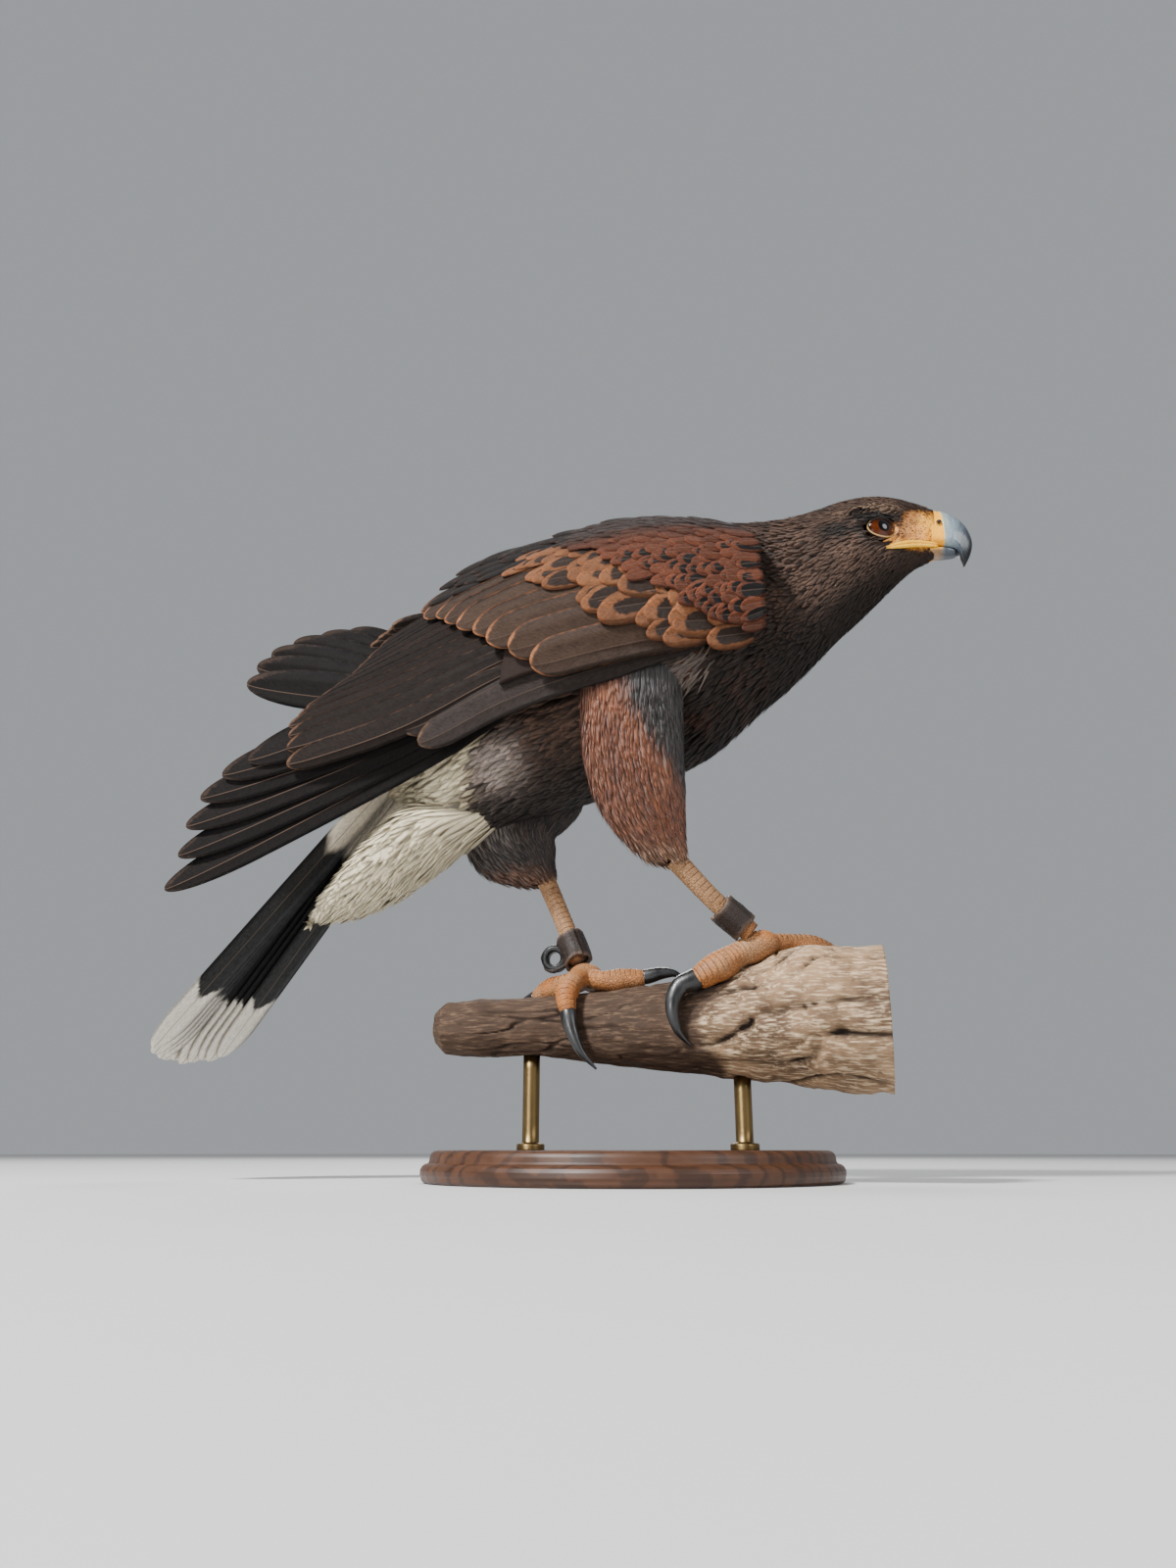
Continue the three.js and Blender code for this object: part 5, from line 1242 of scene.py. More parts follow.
def clear_of_eyes(points, roots):
    """Moves points that would cover an eye out to the rim of its lids, along the face, and says which
    feathers root inside the rim or on the bill and are left out."""
    keep = np.ones(len(points), bool)
    for side in sides.values():
        away, ahead, rim, out = eye_rim(points, side)
        rim = rim + 0.7
        near = (away < rim) & (ahead > 0)
        moved = (rim + 0.3 * (away / rim) ** 2 - away)[..., None]
        points = np.where(near[..., None], points + out * moved, points)
        away, ahead, rim, _ = eye_rim(roots, side)
        keep &= ~((away < rim + 0.5) & (ahead > 0))
    return points, keep


head_regions = {  # start and end along the trunk, gap, length, width, root and tip height
    "face": (-0.006, 0.14, 1.0, 3.8, 1.05, -0.7, 0.2),
    "crown": (0.125, 0.345, 1.4, 8.5, 1.9, -1.1, 0.35)}
for region, (start, end, gap, length, width, low, high) in head_regions.items():
    root_u, root_turn = scattered_roots(trunk, start, end, gap, body_draw)
    count = len(root_u)
    growth = np.interp(root_u, [start, end], [0.75, 1.25]) * body_draw.uniform(0.85, 1.15, count)
    roots = trunk.place(root_u, root_turn)
    bare_here = face_share(roots)
    laid = lay_feathers(trunk, root_u, root_turn, length * growth * (1 - 0.45 * bare_here),
                        width * growth ** 0.6 * (1 - 0.72 * bare_here), low, high,
                        lean=body_draw.normal(0, 7, count), rows=5, blunt=0.3,
                        loose=body_draw.uniform(0, 0.35, count), thickness=0.2, camber=0.12)
    laid["points"], keep = clear_of_eyes(laid["points"], roots)
    keep &= body_draw.random(count) > bare_here * 0.8
    ground, edge = varied(plumage(roots), body_draw, (0.16, 0.2))
    fringe = body_draw.uniform(0.25, 0.6, count)
    plumes = feather_mesh(f"feathers_of_{region}", laid, ground, edge, fringe, keep)
    fit(plumes, soft_feather, "body_feather")

body_regions = {  # start, end, turns, gap, length, width, root and tip height
    "neck": (0.335, 0.52, (0, 360), 1.85, 14, 2.8, -1.6, 0.45),
    "breast": (0.505, 0.87, (180, 360), 2.8, 22, 4.4, -3.2, 0.7),
    "vent": (0.86, 0.995, (180, 360), 3.4, 33, 5.4, -4.6, 1.6),
    "back": (0.505, 0.97, (0, 180), 4.6, 27, 9.5, -4.6, 0.4)}
for region, (start, end, turns, gap, length, width, low, high) in body_regions.items():
    root_u, root_turn = scattered_roots(trunk, start, end, gap, body_draw, turns=turns)
    count = len(root_u)
    roots = trunk.place(root_u, root_turn)
    growth = body_draw.uniform(0.8, 1.2, count)
    laid = lay_feathers(trunk, root_u, root_turn, length * growth, width * growth, low, high,
                        lean=body_draw.normal(0, 6, count), rows=6, blunt=0.35, camber=0.15,
                        loose=body_draw.uniform(0, 0.95, count) ** 2, thickness=0.35)
    ground, edge = varied(plumage(roots), body_draw, (0.16, 0.2))
    fringe = body_draw.uniform(0.2, 0.5, count)
    finish = white_down if region == "vent" else soft_feather
    fit(feather_mesh(f"feathers_of_{region}", laid, ground, edge, fringe), finish, "body_feather")

root_u, root_turn = scattered_roots(trunk, 0.56, 0.76, 1.7, body_draw, turns=(176, 232))
roots = trunk.place(root_u, root_turn)
chosen = sum(bell(roots, spot, armpit_reach) for spot in armpit_spots) > 0.35
root_u, root_turn, roots = root_u[chosen], root_turn[chosen], roots[chosen]
count = len(root_u)
laid = lay_feathers(trunk, root_u, root_turn, body_draw.uniform(12, 26, count), 1.0, -1.5, 1.8,
                    lean=body_draw.normal(16, 12, count), rows=7, blunt=0.2,
                    loose=body_draw.uniform(-0.5, 1.6, count), thickness=0.25)
hair, = varied([same(pigment("#6c5c51"), count)], body_draw, [0.5])
fit(feather_mesh("armpit_tuft", laid, hair, hair * 1.4, 0.4), downy, "body_feather")


# Thighs. Long soft hair-like feathers hang down each thigh as loose trousers: rusty on the right,
# with painted shadow darkening its upper front and a pale lower end, and dark brown on the left below
# a pale grey patch.
trouser_gap = {"R": 1.75, "L": 1.9}
trouser_end = {"R": 140, "L": 144}  # height above the floor where the shank starts
trouser_length, trouser_width = 21, 2.5


def trouser_colours(name, points):
    """Ground and edge colour of a thigh by height, and by how far forward each feather roots. On the
    right thigh the dark upper front is painted shadow.
    """
    x, y, z = np.moveaxis(points, -1, 0)
    grain = cloud_at(points * [1, 1, 0.3], 4, 21)
    if name == "R":
        ground = over(pigment("#6a3519") + 0 * points, pigment("#8c4f29"), 0.5 + 0.6 * grain)
        # Painted shadow: the upper front of the right thigh goes near black.
        forward = (x - 17) / 9 + (z - 212) / 16
        ground = over(ground, pigment("#211815"), forward)
        edge = over(ground * 1.4, pigment("#a87d5c"), (168 - z) / 16)
        return over(ground, pigment("#965e3a"), (160 - z) / 18), edge
    ground = over(pigment("#211611") + 0 * points, pigment("#38271e"), 0.5 + grain)
    rear = np.clip((-66 - x) / 14 + (z - 184) / 26, 0, 0.9)
    inner = held((37 - y) / 10)
    ground = over(ground, silk * 0.8, rear * inner * held((z - 180) / 14))
    edge = over(ground * 1.6, pigment("#7a4c2c"), (170 - z) / 14)
    return over(ground, pigment("#55382a"), (166 - z) / 16), edge


for name, thigh in thighs.items():
    root_u, root_turn = scattered_roots(thigh, 0.0, 0.93, trouser_gap[name], body_draw)
    count = len(root_u)
    roots = thigh.place(root_u, root_turn)
    growth = body_draw.uniform(0.75, 1.25, count) * np.interp(root_u, [0, 0.6, 0.93], [1, 1, 0.55])
    rearward = np.clip(0.4 - np.sin(np.radians(root_turn)), 0, 1.4)
    fringe_of_leg = np.interp(root_u, [0, 0.5, 0.9], [0.35, 0.8, 2.2]) * (0.5 + rearward)
    laid = lay_feathers(thigh, root_u, root_turn, trouser_length * growth, trouser_width * growth, -2.2, 0.35,
                        lean=body_draw.normal(0, 4, count), rows=5, blunt=0.2, camber=0.15,
                        loose=body_draw.uniform(0, 1.05, count) ** 2 * fringe_of_leg, thickness=0.3)
    ground, edge = varied(trouser_colours(name, roots), body_draw, (0.12, 0.16))
    fringe = body_draw.uniform(0.2, 0.5, count)
    keep = laid["points"][:, :, 0, 2].min(1) > trouser_end[name]
    trousers = feather_mesh(f"trousers_{name}", laid, ground, edge, fringe, keep)
    fit(trousers, downy, "chestnut_feather" if name == "R" else "body_feather")


# Under the tail. A thick cushion of creamy white down-like feathers, in loose rows that end in
# soft points over the base of the tail.
down_start, down_end, down_gap, down_length, down_width = -0.06, 0.84, 2.7, 27, 4.4
vent_draw = np.random.default_rng(feather_seed + 1)
root_u, root_turn = scattered_roots(undertail, down_start, down_end, down_gap, vent_draw)
count = len(root_u)
growth = vent_draw.uniform(0.8, 1.3, count) * np.interp(root_u, [0, 0.5, down_end], [1, 0.9, 0.55])
laid = lay_feathers(undertail, root_u, root_turn, down_length * growth, down_width * growth, -4.5, 1.4,
                    lean=vent_draw.normal(0, 7, count), rows=6, blunt=0.3,
                    loose=vent_draw.uniform(0, 1.3, count) ** 2 * 1.4, thickness=0.4)
vent_tone = varied([same(cream, count)], vent_draw, [0.08])[0] * 1.15
fringe = vent_draw.uniform(0.2, 0.5, count)
fit(feather_mesh("undertail_down", laid, vent_tone, vent_tone * 1.1, fringe),
    white_down, "cream_feather", "undertail_coverts")


# Wings. Each is a folded arm under rows of coverts: small rusty scales with dark hearts at the
# shoulder, larger pale-edged ones behind, long grey-brown ones over the secondaries, and the
# primaries fanned below. The far wing is held up and a little open.
wing_guides = {  # four lines from the lower edge up to the spine, each from front to back
    "R": [[(70, -48, 247), (12, -63, 237), (-47, -61.5, 225.5), (-107, -52, 205.5), (-169, -41, 196)],
          [(73, -54, 268), (20, -67, 262), (-41, -64, 253), (-102, -54, 236), (-170, -37, 225)],
          [(69, -46, 295), (22, -57, 294), (-32, -52, 289), (-88, -40, 275), (-142, -24, 258)],
          [(57, -23, 318), (20, -20.5, 327), (-26, -18, 326.5), (-74, -13, 317), (-117, -7, 300)]],
    "L": [[(70, 48, 247), (12, 65, 250), (-50, 68, 260), (-110, 63, 268), (-166, 53, 274)],
          [(73, 54, 268), (18, 70, 276), (-44, 71, 284), (-106, 66, 291), (-176, 51, 291)],
          [(69, 46, 295), (21, 58, 303), (-36, 56, 309), (-94, 51, 314), (-158, 43, 308)],
          [(57, 23, 318), (20, 20.5, 327), (-28, 19, 328), (-80, 23, 327), (-132, 30, 320)]]}
primary_tips = {
    "R": [(-240, -27, 143), (-233, -27.7, 160), (-229, -28.2, 175), (-221, -29, 189), (-208, -30.4, 200),
          (-192, -32, 206)],
    "L": [(-238, 36, 282), (-233, 36.4, 293), (-225, 37, 301), (-212, 37.9, 307), (-196, 39, 310),
          (-180, 40.1, 311)]}
rise_of_rows = 0.74
row_overlap = 1.5
covert_rows = {  # count, least width, t and s of the roots and tips at both ends of the row, lift, tilt
    "secondaries": (12, 12, (0.04, 0.78), (0.02, 0.72), (0.5, 0.52), (1, 1), (-4.2, -3.2, -1.2), 9),
    "hand_coverts": (4, 19, (0.0, 0.12), (-0.03, 0.1), (0.1, 0.2), (0.7, 0.8), (-5.5, -5, -3.6), 3),
    "greater": (9, 14, (0.03, 0.8), (0.02, 0.78), (0.02, 0.44), (0.45, 0.88), (-3, 0.4, 2.0), 7)}
median_line = (0.17, 0.58)
hand_row = {"root": 0.45, "across": (0.04, 0.34), "bend": 0.8, "bend_across": (-0.1, 0.28), "depth": 12.4,
            "step": 1.2, "width": {"R": 21.0, "L": 25.0}}
primary_codes = ("#151110", "#362b25")
tip_rows = 20  # of the rows of points along a vane, those that round its tip
shaft_ridge, vane_arch = 0.35, 0.05
arm_grid, arm_reach, arm_tone = (40, 48), 0.52, "#2b1f1a"


class Wing:
    """The upper face of a folded wing: s runs back from its front edge, and t up from its lower edge
    to the spine. Each guide line gives a place at s, and a smooth curve through the four the place at t."""

    def __init__(self, guide, side):
        self.guide, self.sign = guide, side

    def place(self, s, t):
        s, t = np.broadcast_arrays(np.asarray(s, float), np.asarray(t, float))
        return along(np.stack([along(line, s) for line in self.guide], -2), t)

    def out(self, s, t):
        back = self.place(s + 0.02, t) - self.place(s - 0.02, t)
        up = self.place(s, t + 0.02) - self.place(s, t - 0.02)
        return unit(np.cross(back, up)) * self.sign


class WingDegrees:
    """The same face read as a form is: length along it, and its height as 0 to 100 in place of a
    turn."""

    def __init__(self, wing):
        self.wing, self.sign = wing, wing.sign

    def place(self, u, turn):
        return self.wing.place(u, turn / 100)


def vanes(middle, out, width, lift, tilt, rows, skew=0.0, blunt=0.85, base=0.45, thickness=0.5):
    """Long feathers in space. Each point is the middle line, plus the way to the side turned by tilt
    times the half width there, plus the height of its lift, a raised shaft and a slight arch."""
    tip_steps = 0.8 + 0.2 * np.sin(np.linspace(0, np.pi / 2, tip_rows + 1)[1:])
    steps = np.concatenate([np.linspace(0, 0.8, rows - tip_rows), tip_steps])
    side, below = ring_places[7]
    place = middle(steps)
    run = unit(np.gradient(place, axis=1))
    left = unit(np.cross(out(steps), run))
    face = np.cross(run, left)
    turn = np.radians(tilt)
    half = (width[:, None] / 2 * outline(steps, blunt, base))[..., None]
    offset = half * (side - skew * (1 - side ** 2))
    height = np.interp(steps, [0, 0.3, 1], lift)[None, :, None]
    body = thickness * below * (1 - 0.4 * steps)[:, None]
    bow = (np.abs(side) < 0.01) * shaft_ridge * (1 - below) - vane_arch * half * side ** 2 - body
    ways = [(left * np.cos(turn) + face * np.sin(turn), offset), (face, height),
            (face * np.cos(turn) - left * np.sin(turn), bow)]
    points = place[:, :, None] + sum(way[:, :, None] * size[..., None] for way, size in ways)
    length = length_of(np.diff(place, axis=1)).sum(1)
    number = np.arange(len(place))
    cell = np.stack([(number % 12 + 0.5) / 12, (number // 12 + 0.5) / 4], -1)[:, None, None]
    bake = cell + patch_of(steps, side, offset) * [0.9 / 12, 0.9 / 4]
    return {"points": points, "vane": vane_of(steps, side, half * side, length, blunt), "bake": bake}


flight_finish = feather_finish("flight_feather", shaft=0.7, barb_width=0.85, barb_depth=0.00025, sheen=0.0,
                               spread=0.35, gloss=0.13)
covert_finish = feather_finish("covert_feather", shaft=0.35, barb_width=0.8, barb_depth=0.0003, sheen=0.02,
                               spread=0.5, worn=0.45, gloss=0.14)
wing_draw = np.random.default_rng(feather_seed + 2)
row_looks = {  # ground, edge, width of the fringe, finish, slot and the solid it stands for
    "secondaries": ("#1e1612", "#5e4636", 0.08, flight_finish, "flight_feather", "secondaries"),
    "greater": ("#3c2d23", "#8a5e40", 0.08, covert_finish, "wing_covert", "wing"),
    "hand_coverts": ("#2c2522", "#5d4a3c", 0.05, covert_finish, "wing_covert")}

for name, side in sides.items():
    wing = Wing(wing_guides[name], side)
    face = WingDegrees(wing)

    back, up = (np.linspace(0, 1, steps) for steps in arm_grid)
    core_s, core_t = np.meshgrid(arm_reach * back, 0.02 + 0.97 * up, indexing="ij")
    core_arch = np.sin(np.pi * up) * (1 - back[:, None] ** 2)
    core_out = wing.out(core_s, core_t)
    core_top, core_low = (wing.place(core_s, core_t) + core_out * lift[..., None]
                          for lift in (core_arch - 1.5, -4.5 - 2 * core_arch))
    arm = shell(np.concatenate([core_top, core_low[:, ::-1]], 1))
    arm_rows = {"vane": (6, 3, 0.3), "ground": (*pigment(arm_tone), 1), "fringe": (*pigment(arm_tone), 0)}
    arm_values = {key: np.tile(row, (len(arm[0]), 1)) for key, row in arm_rows.items()}
    fit(surface_mesh(f"folded_arm_{name}", *arm, arm_values), covert_finish, "wing_covert")

    for row_name, (most, least, *ends, lift, tilt) in covert_rows.items():
        share = 1.0 if name == "R" else 0.85
        count = round(most * share)
        q = np.arange(count)[:, None] / (count - 1)
        uneven = wing_draw.uniform(-0.008, 0.008, count)[:, None]

        def place_on_row(steps):
            """Places s and t of a row of feathers: straight from each root to each tip, the ends at
            equal steps between those of the first and the last feather."""
            low, high, near, far = (first + (last - first) * q for first, last in ends)
            s = near * (1 - steps) + (far + uneven) * steps
            t = low * (1 - steps) + high * steps
            return s, np.sign(t) * np.abs(t) ** rise_of_rows

        at_seven = wing.place(*place_on_row(0.7))[:, 0]
        pitch = length_of(np.diff(at_seven, axis=0))
        width = np.maximum(np.concatenate([pitch[:1], pitch]) * row_overlap, least)
        laid = vanes(lambda steps: wing.place(*place_on_row(steps)),
                     lambda steps: wing.out(*place_on_row(steps)),
                     width, lift, tilt / share * side, 52, skew=0.25 * side, blunt=0.86)
        *codes, fringe, row_finish, row_slot = row_looks[row_name][:5]
        ground, edge = varied([same(pigment(code), count) for code in codes], wing_draw, (0.26, 0.14))
        fringe = fringe * wing_draw.uniform(0.8, 1.2, count)
        fit(feather_mesh(f"{row_name}_{name}_row", laid, ground, edge, fringe), row_finish, row_slot,
            *(f"{solid}_{name}" for solid in row_looks[row_name][5:]))

    def scatter(kind, start, end, gap, squeeze, turns, size, heights, colours, fringe, rows, keeps=None,
                **shape):
        """A field of coverts over the face of the wing, as one piece. Size is a feather's length and
        width, and heights are those of its root and its tip over the face."""
        u, turn = scattered_roots(face, start, end, gap, wing_draw, squeeze, turns)
        if keeps:
            chosen = keeps(u, turn / 100)
            u, turn = u[chosen], turn[chosen]
        grown = wing_draw.uniform(0.85, 1.15, len(u))
        laid = lay_feathers(face, u, turn, size[0] * grown, size[1] * grown, *heights,
                            lean=wing_draw.normal(0, 6, len(u)), rows=rows, across=5, **shape)
        ground, edge = varied(colours(u, turn / 100), wing_draw, (0.22, 0.22))
        made = feather_mesh(f"{kind}_{name}", laid, ground, edge, fringe(u, turn / 100))
        fit(made, covert_finish, "wing_covert")

    def line_of_medians(t):
        """How far back the median coverts end, in a straight line up the wing."""
        return median_line[0] + median_line[1] * t

    def plain(code, edge_code):
        """One ground and one edge colour for all feathers of a field."""
        return lambda s, t: (same(pigment(code), len(s)), same(pigment(edge_code), len(s)))

    def rusty(s, t):
        """Dark hearts, and rusty edges that turn dark toward the spine."""
        upward = held((t - 0.6) / 0.22 + 0.4 * wing_draw.normal(0, 0.3, len(s)))[:, None]
        edge = pigment("#5c3220") * (1 - upward) + pigment("#261812") * upward
        return same(pigment("#0f0c0b"), len(s)), edge

    def drawn(low, high):
        """A fringe whose width is a seeded share for each feather."""
        return lambda s, t: wing_draw.uniform(low, high, len(s))

    lowest = 3 if name == "R" else 15
    scatter("median_coverts", start=0.0, end=0.62, gap=8.6, squeeze=1.15, turns=(lowest, 86), size=(26, 16),
            heights=(1.4, 3.2), colours=plain("#2c2019", "#7c5033"), fringe=drawn(0.35, 0.75), rows=11,
            keeps=lambda s, t: (s > line_of_medians(t) - 0.29) & (s < line_of_medians(t) - 0.085),
            blunt=0.55, base=0.6, camber=0.2, thickness=0.25)
    scatter("lesser_coverts", start=-0.015, end=0.42, gap=4.4, squeeze=1.1, turns=(lowest, 98),
            size=(14, 8.4), heights=(3.3, 4.5), colours=rusty, rows=8,
            keeps=lambda s, t: s < line_of_medians(t) - 0.21,
            fringe=lambda s, t: np.where((wing_draw.random(len(s)) < 0.5) & (t < 0.58), 0.4, 1.3),
            blunt=0.5, base=0.6, camber=0.1, thickness=0.2)
    scatter("scapulars", start=0.08, end=0.66, gap=9.5, squeeze=1.1, turns=(80, 103), size=(42, 15),
            heights=(-2, 3.4), colours=plain("#15100e", "#291c16"), fringe=drawn(0.12, 0.22), rows=10,
            blunt=0.6, base=0.5, camber=0.4, thickness=0.4)
    scatter("underwing_coverts", start=0.0, end=0.46, gap=8.0, squeeze=1.1, turns=(4, 70), size=(24, 11),
            heights=(-7.5, -8.6), colours=plain("#3a2117", "#6b3a22"), fringe=drawn(0.3, 0.6), rows=7,
            blunt=0.55, base=0.5, thickness=0.4)

    tips = np.array(primary_tips[name], float)
    last = len(tips) - 1
    root_row = [wing.place(hand_row["root"], t) for t in hand_row["across"]]
    bend_row = [wing.place(hand_row["bend"], t) for t in hand_row["bend_across"]]
    tip_row = [tips[0], tips[last]]

    def facing(row, start, end):
        """The way the fan faces at a row: square to the row and to the run from start to end."""
        run = end[0] + end[1] - start[0] - start[1]
        return unit(np.cross(run, row[1] - row[0])) * side

    outs = np.stack([facing(root_row, root_row, bend_row), facing(bend_row, root_row, tip_row),
                     facing(tip_row, bend_row, tip_row)])
    rank = np.arange(last + 1) / last
    layer = (np.arange(last + 1) - last / 2) * hand_row["step"]
    lines = np.stack([
        *(row[0] + (row[1] - row[0]) * rank[:, None] + outs[i] * (layer - hand_row["depth"])[:, None]
          for i, row in enumerate((root_row, bend_row))),
        tips + outs[2] * layer[:, None]], 1)

    def primary_line(steps):
        """Each primary's middle line: a smooth curve from its root over its bend to its tip."""
        return along(np.repeat(lines[:, None], len(steps), 1), np.broadcast_to(steps, (last + 1, len(steps))))

    laid = vanes(primary_line, lambda steps: unit(along(outs, steps)),
                 np.full(last + 1, hand_row["width"][name]), (0, 0, 0), 0.0, 90, skew=0.3 * side, blunt=0.8)
    ground, edge = varied([same(pigment(code), last + 1) for code in primary_codes], wing_draw, (0.15, 0.1))
    fit(feather_mesh(f"primaries_{name}_fan", laid, ground, edge, 0.06),
        flight_finish, "flight_feather", f"primaries_{name}")


# Tail. Twelve long feathers in two halves, black with white bases and broad white tips. The middle
# pair lies on top, and each next one a step lower and further to the side.
tail_root, tail_down = np.array([-106.0, 0, 229]), 51.6
tail_pairs, tail_length, tail_outer_loss, tail_width = 6, 218, 9, 26.0
tail_pitch, tail_step = (2, 5.8), 0.95
white_tip, white_base = 31, 92
tail_run = np.array([-np.cos(np.radians(tail_down)), 0, -np.sin(np.radians(tail_down))])
tail_top = np.array([-np.sin(np.radians(tail_down)), 0, np.cos(np.radians(tail_down))])

tail_finish = Finish("tail_feather", Specular_IOR_Level=0.16)
tail_side, _, tail_wobble, tail_barbs, tail_clumps = barbs_of(tail_finish, 260.0, 0.5, 7.4, (0.8, 0.1))
from_tip = tail_finish.attribute("ground", "Alpha")
ragged = from_tip * 100 - tail_side * 0.7 + tail_wobble * 5 + tail_clumps * 5
tip_white = tail_finish.between(ragged, white_tip + 3.0, white_tip + 6.0, 1.0, 0.0)
base_white = tail_finish.between(ragged, tail_length - white_base, tail_length - white_base + 8.0)
tail_tone = tail_finish.blend(tip_white, "#120f0e", "#fff6e6")
tail_tone = tail_finish.blend(base_white, tail_tone, "#f4ead6")
tail_tone = tail_finish.glaze(tail_tone, tail_clumps, 0.35, 0.75, 0.8, (0.5, 0.47, 0.45, 1), "MULTIPLY")
tail_quill = tail_finish.between(tail_side, 0.2, 0.45, 0.75, 0.0)
tail_tone = tail_finish.blend(tail_quill, tail_tone, "#6b5a4c")
tail_finish.feed(Base_Color=tail_tone, Roughness=tail_finish.between(tail_clumps, 0.2, 0.8, 0.4, 0.68))
tail_finish.bump(tail_barbs * 0.5 + tail_clumps * 0.8, 0.0003, 0.8)

pair, hand = (v.ravel() for v in np.meshgrid(np.arange(tail_pairs), (-1, 1), indexing="ij"))
tail_layer = np.where(pair < 2, pair * 2 + (hand > 0), pair + 2)
tail_rank = pair + 0.5
tail_each = tail_length - tail_outer_loss * (tail_rank / (tail_pairs - 0.5)) ** 2 - tail_layer % 3


def tail_line(steps):
    """The feathers' middle lines: from the tail's root back along its run by each one's own length, below
    its top by a step a layer, and to the side by a pitch that widens toward the tips."""
    steps = np.asarray(steps)[None, :, None]
    sideways = (hand * tail_rank)[:, None, None] * (tail_pitch[0] * (1 - steps) + tail_pitch[1] * steps)
    place = tail_root + tail_run * tail_each[:, None, None] * steps - tail_top * (
        tail_layer * tail_step)[:, None, None]
    return place * [1, 0, 1] + sideways * [0, 1, 0]


laid = vanes(tail_line, lambda steps: tail_top, np.full(2 * tail_pairs, tail_width), (0, 0, 0), 0.0, 60,
             blunt=0.9, base=0.5, thickness=0.7)
tip_distance = (laid["vane"][:, -1:, :1, 1] - laid["vane"][..., 1]) / 100
tail_values = {"vane": laid["vane"], "ground": tip_distance[..., None] * [0, 0, 0, 1]}
tail_faces = feather_faces(*tip_distance.shape)
tail_mesh = surface_mesh("tail_fan", laid["points"], *tail_faces, tail_values, laid["bake"])
fit(tail_mesh, tail_finish, "tail_feather", "tail")


# Leather cuffs and the eyelet. A strip of dark oiled leather is wrapped round each leg, and on the
# left one its lapped ends are held together by a black metal eyelet.
cuff_at = {"R": 0.77, "L": 0.87}
cuff_bore, cuff_wall, cuff_height, cuff_squareness = 5.4, 2, 15, 0.32
eyelet_back = 10.6
tab_from, tab_to, tab_thickness, tab_height = 6, 17.4, 3.4, 14
tab_hole, tab_rounding = 4.2, 7.6

leather = Finish("oiled_leather", Specular_IOR_Level=0.35)
creases = leather.cloud(leather.place(), 420.0, 6.0, 0.65)
pores = leather.node("ShaderNodeTexVoronoi", {"feature": "F1"}, {"Vector": leather.place(), "Scale": 1500.0})
leather_tone = leather.blend(creases, "#0c0807", "#2f221b")
leather_tone = leather.blend(leather.axis(leather.attribute("cuff"), 0) * 0.6, leather_tone, "#6a5648")
leather.feed(Base_Color=leather_tone, Roughness=leather.between(creases, 0.3, 0.7, 0.45, 0.75))
leather.bump(creases * 0.8 + pores * 0.4, 0.0005, 0.7)


def cuff_frame(name):
    """The middle of a cuff, the way up its leg, and the way behind it."""
    line = tarsus_lines[name]
    middle = along(line, cuff_at[name])
    axis = unit(along(line, cuff_at[name] + 0.02) - along(line, cuff_at[name] - 0.02))
    return middle, axis, unit(np.array([axis[2], 0, -axis[0]]))


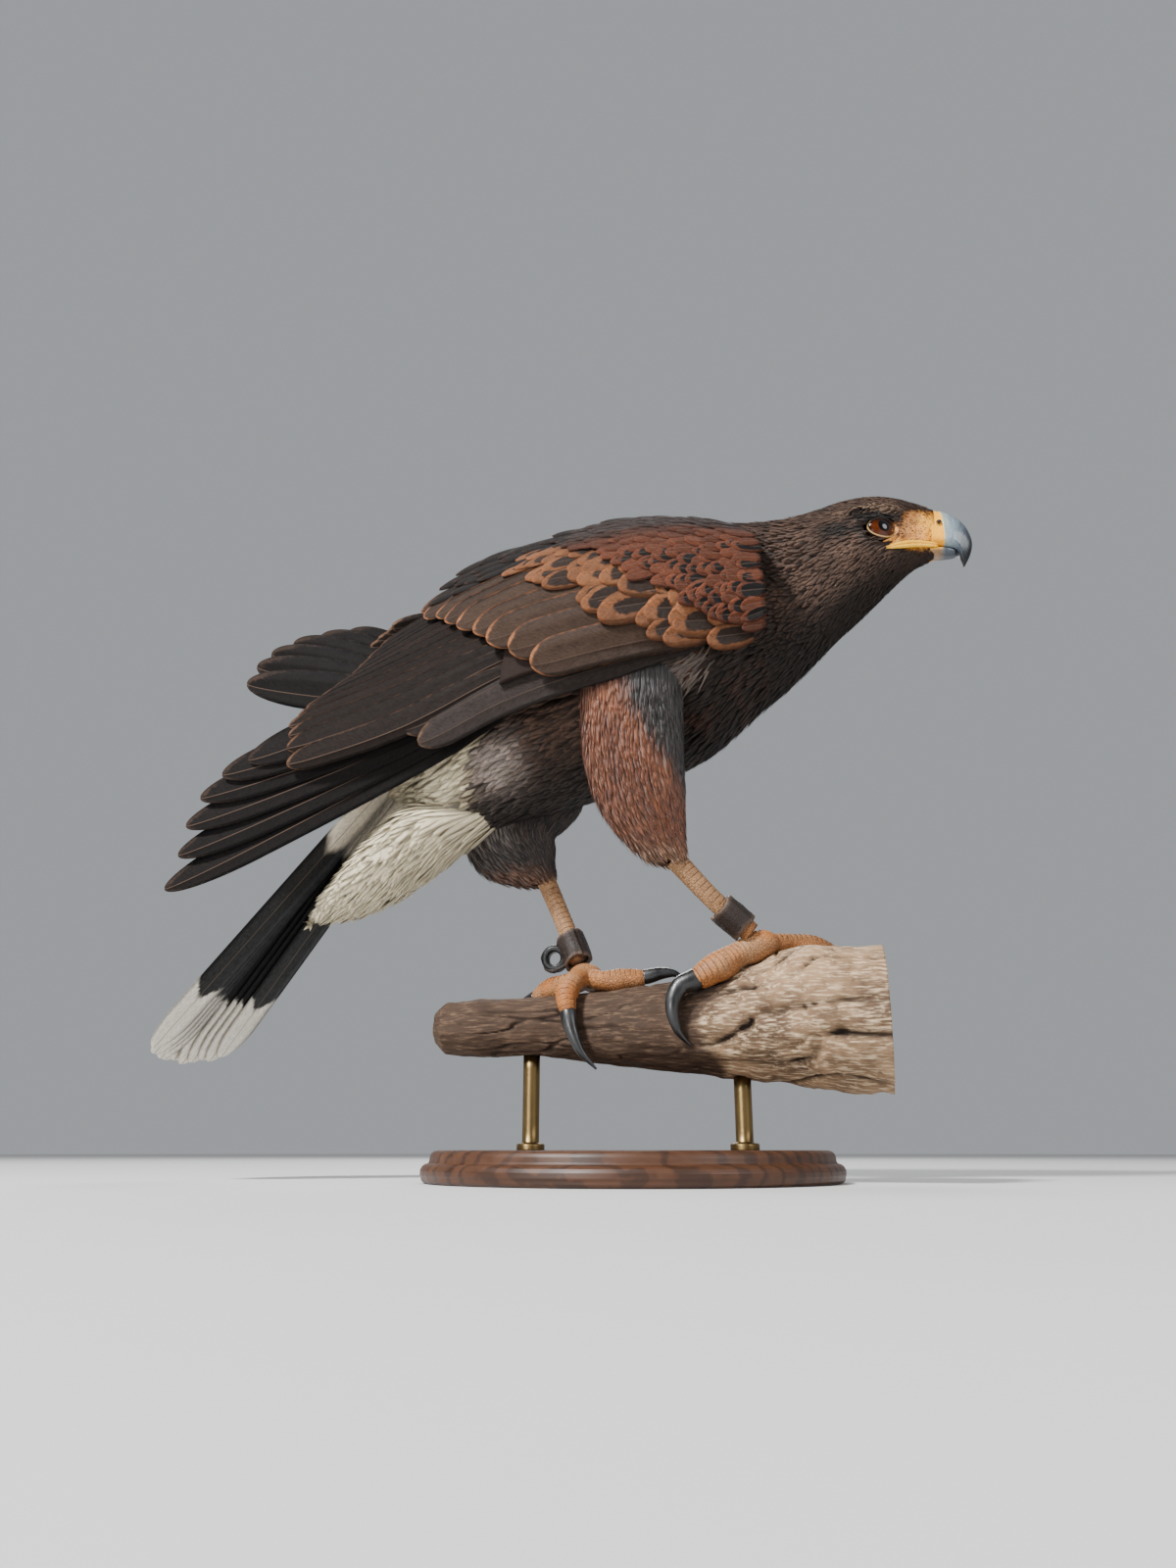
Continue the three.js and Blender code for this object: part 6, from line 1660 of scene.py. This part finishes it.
for name in sides:
    middle, axis, behind = cuff_frame(name)
    wall, tall = (np.sign(part) * np.abs(part) ** cuff_squareness * size / 2 for part, size in (
        (np.cos(once_round(40)), cuff_wall), (np.sin(once_round(40)), cuff_height)))
    turn = once_round(180)[:, None]
    lap = 0.9 * held((np.degrees(turn) - 232) / 4) * held((300 - np.degrees(turn)) / 60)
    radius = cuff_bore + cuff_wall / 2 + wall * (1 + 0.15 * np.sin(3 * turn)) + lap
    height = tall * (1 + 0.05 * np.sin(2 * turn + 1) + 0.03 * np.sin(5 * turn)) + 0.5 * np.sin(turn + 0.7)
    cuff = middle + sum(size[..., None] * way for size, way in (
        (radius * np.cos(turn), behind), (radius * np.sin(turn), np.cross(axis, behind)), (height, axis)))
    wrinkles = 0.35 * cloud_at(cuff, 4.5, 30) + 0.22 * cloud_at(cuff, 1.5, 31)
    cuff = cuff + wrinkles[..., None] * unit(cuff - middle)
    cuff_parts = [hoop(cuff)]
    worn = held(np.abs(tall) / (cuff_height / 2) * 3 - 2.1) + 0 * radius
    if name == "L":
        eyelet_centre = middle + behind * eyelet_back
        level, rise = np.cos(once_round(96)), np.sin(once_round(96))
        room = np.where(level < 0, tab_to - eyelet_back, eyelet_back - tab_from)
        reach = np.minimum(tab_height / 2 / np.maximum(np.abs(rise), 1e-6), tab_rounding)
        reach = np.minimum(reach, room / np.maximum(np.abs(level), 1e-6))
        profile = [(tab_hole, -1), (tab_hole, 1), (reach - 0.6, 1), (reach, 0.6), (reach, -0.6),
                   (reach - 0.6, -1)]
        tab = np.stack([
            eyelet_centre - behind * (size * level)[:, None] + axis * (size * rise)[:, None]
            + [0, depth * tab_thickness / 2, 0] for size, depth in profile], 1)
        cuff_parts.append(hoop(tab))
        worn = np.concatenate([worn.ravel(), np.zeros(tab.size // 3)])
    fit(surface_mesh(f"leather_cuff_{name}", *merged(cuff_parts), {"cuff": worn[..., None] * [1, 0, 0]}),
        leather, "leather", f"anklet_{name}")

enamel = Finish("black_eyelet", Metallic=0.6)
scuffs = enamel.cloud(enamel.place(), 900.0, 5.0, 0.7)
scuffed = enamel.between(scuffs, 0.6, 0.72, 0.0, 0.6)
enamel.feed(Base_Color=enamel.blend(scuffed, "#101011", "#5b5a58"),
            Roughness=enamel.between(scuffs, 0.3, 0.7, 0.28, 0.5))
enamel.bump(scuffs, 0.0001, 0.4)
groove = tab_thickness / 2 + 0.1
eyelet_profile = [  # distance from the hole's middle, and from the middle of the leather
    (3.2, -2.2), (3.5, -2.75), (4.3, -3.0), (5.6, -2.9), (6.5, -2.45), (6.7, -2.0), (6.5, -groove),
    (4.0, -groove), (3.9, 0), (4.0, groove), (6.5, groove), (6.7, 2.0), (6.5, 2.45), (5.6, 2.9), (4.3, 3.0),
    (3.5, 2.75), (3.2, 2.2), (3.15, 0)]
eyelet_size, eyelet_level = np.array(eyelet_profile).T
turn = once_round(96)[:, None]
eyelet = eyelet_centre + np.stack([
    eyelet_size * np.cos(turn), eyelet_level + 0 * turn, eyelet_size * np.sin(turn)], -1)
fit(surface_mesh("eyelet_ring", *hoop(eyelet)), enamel, "eyelet", "eyelet_L")
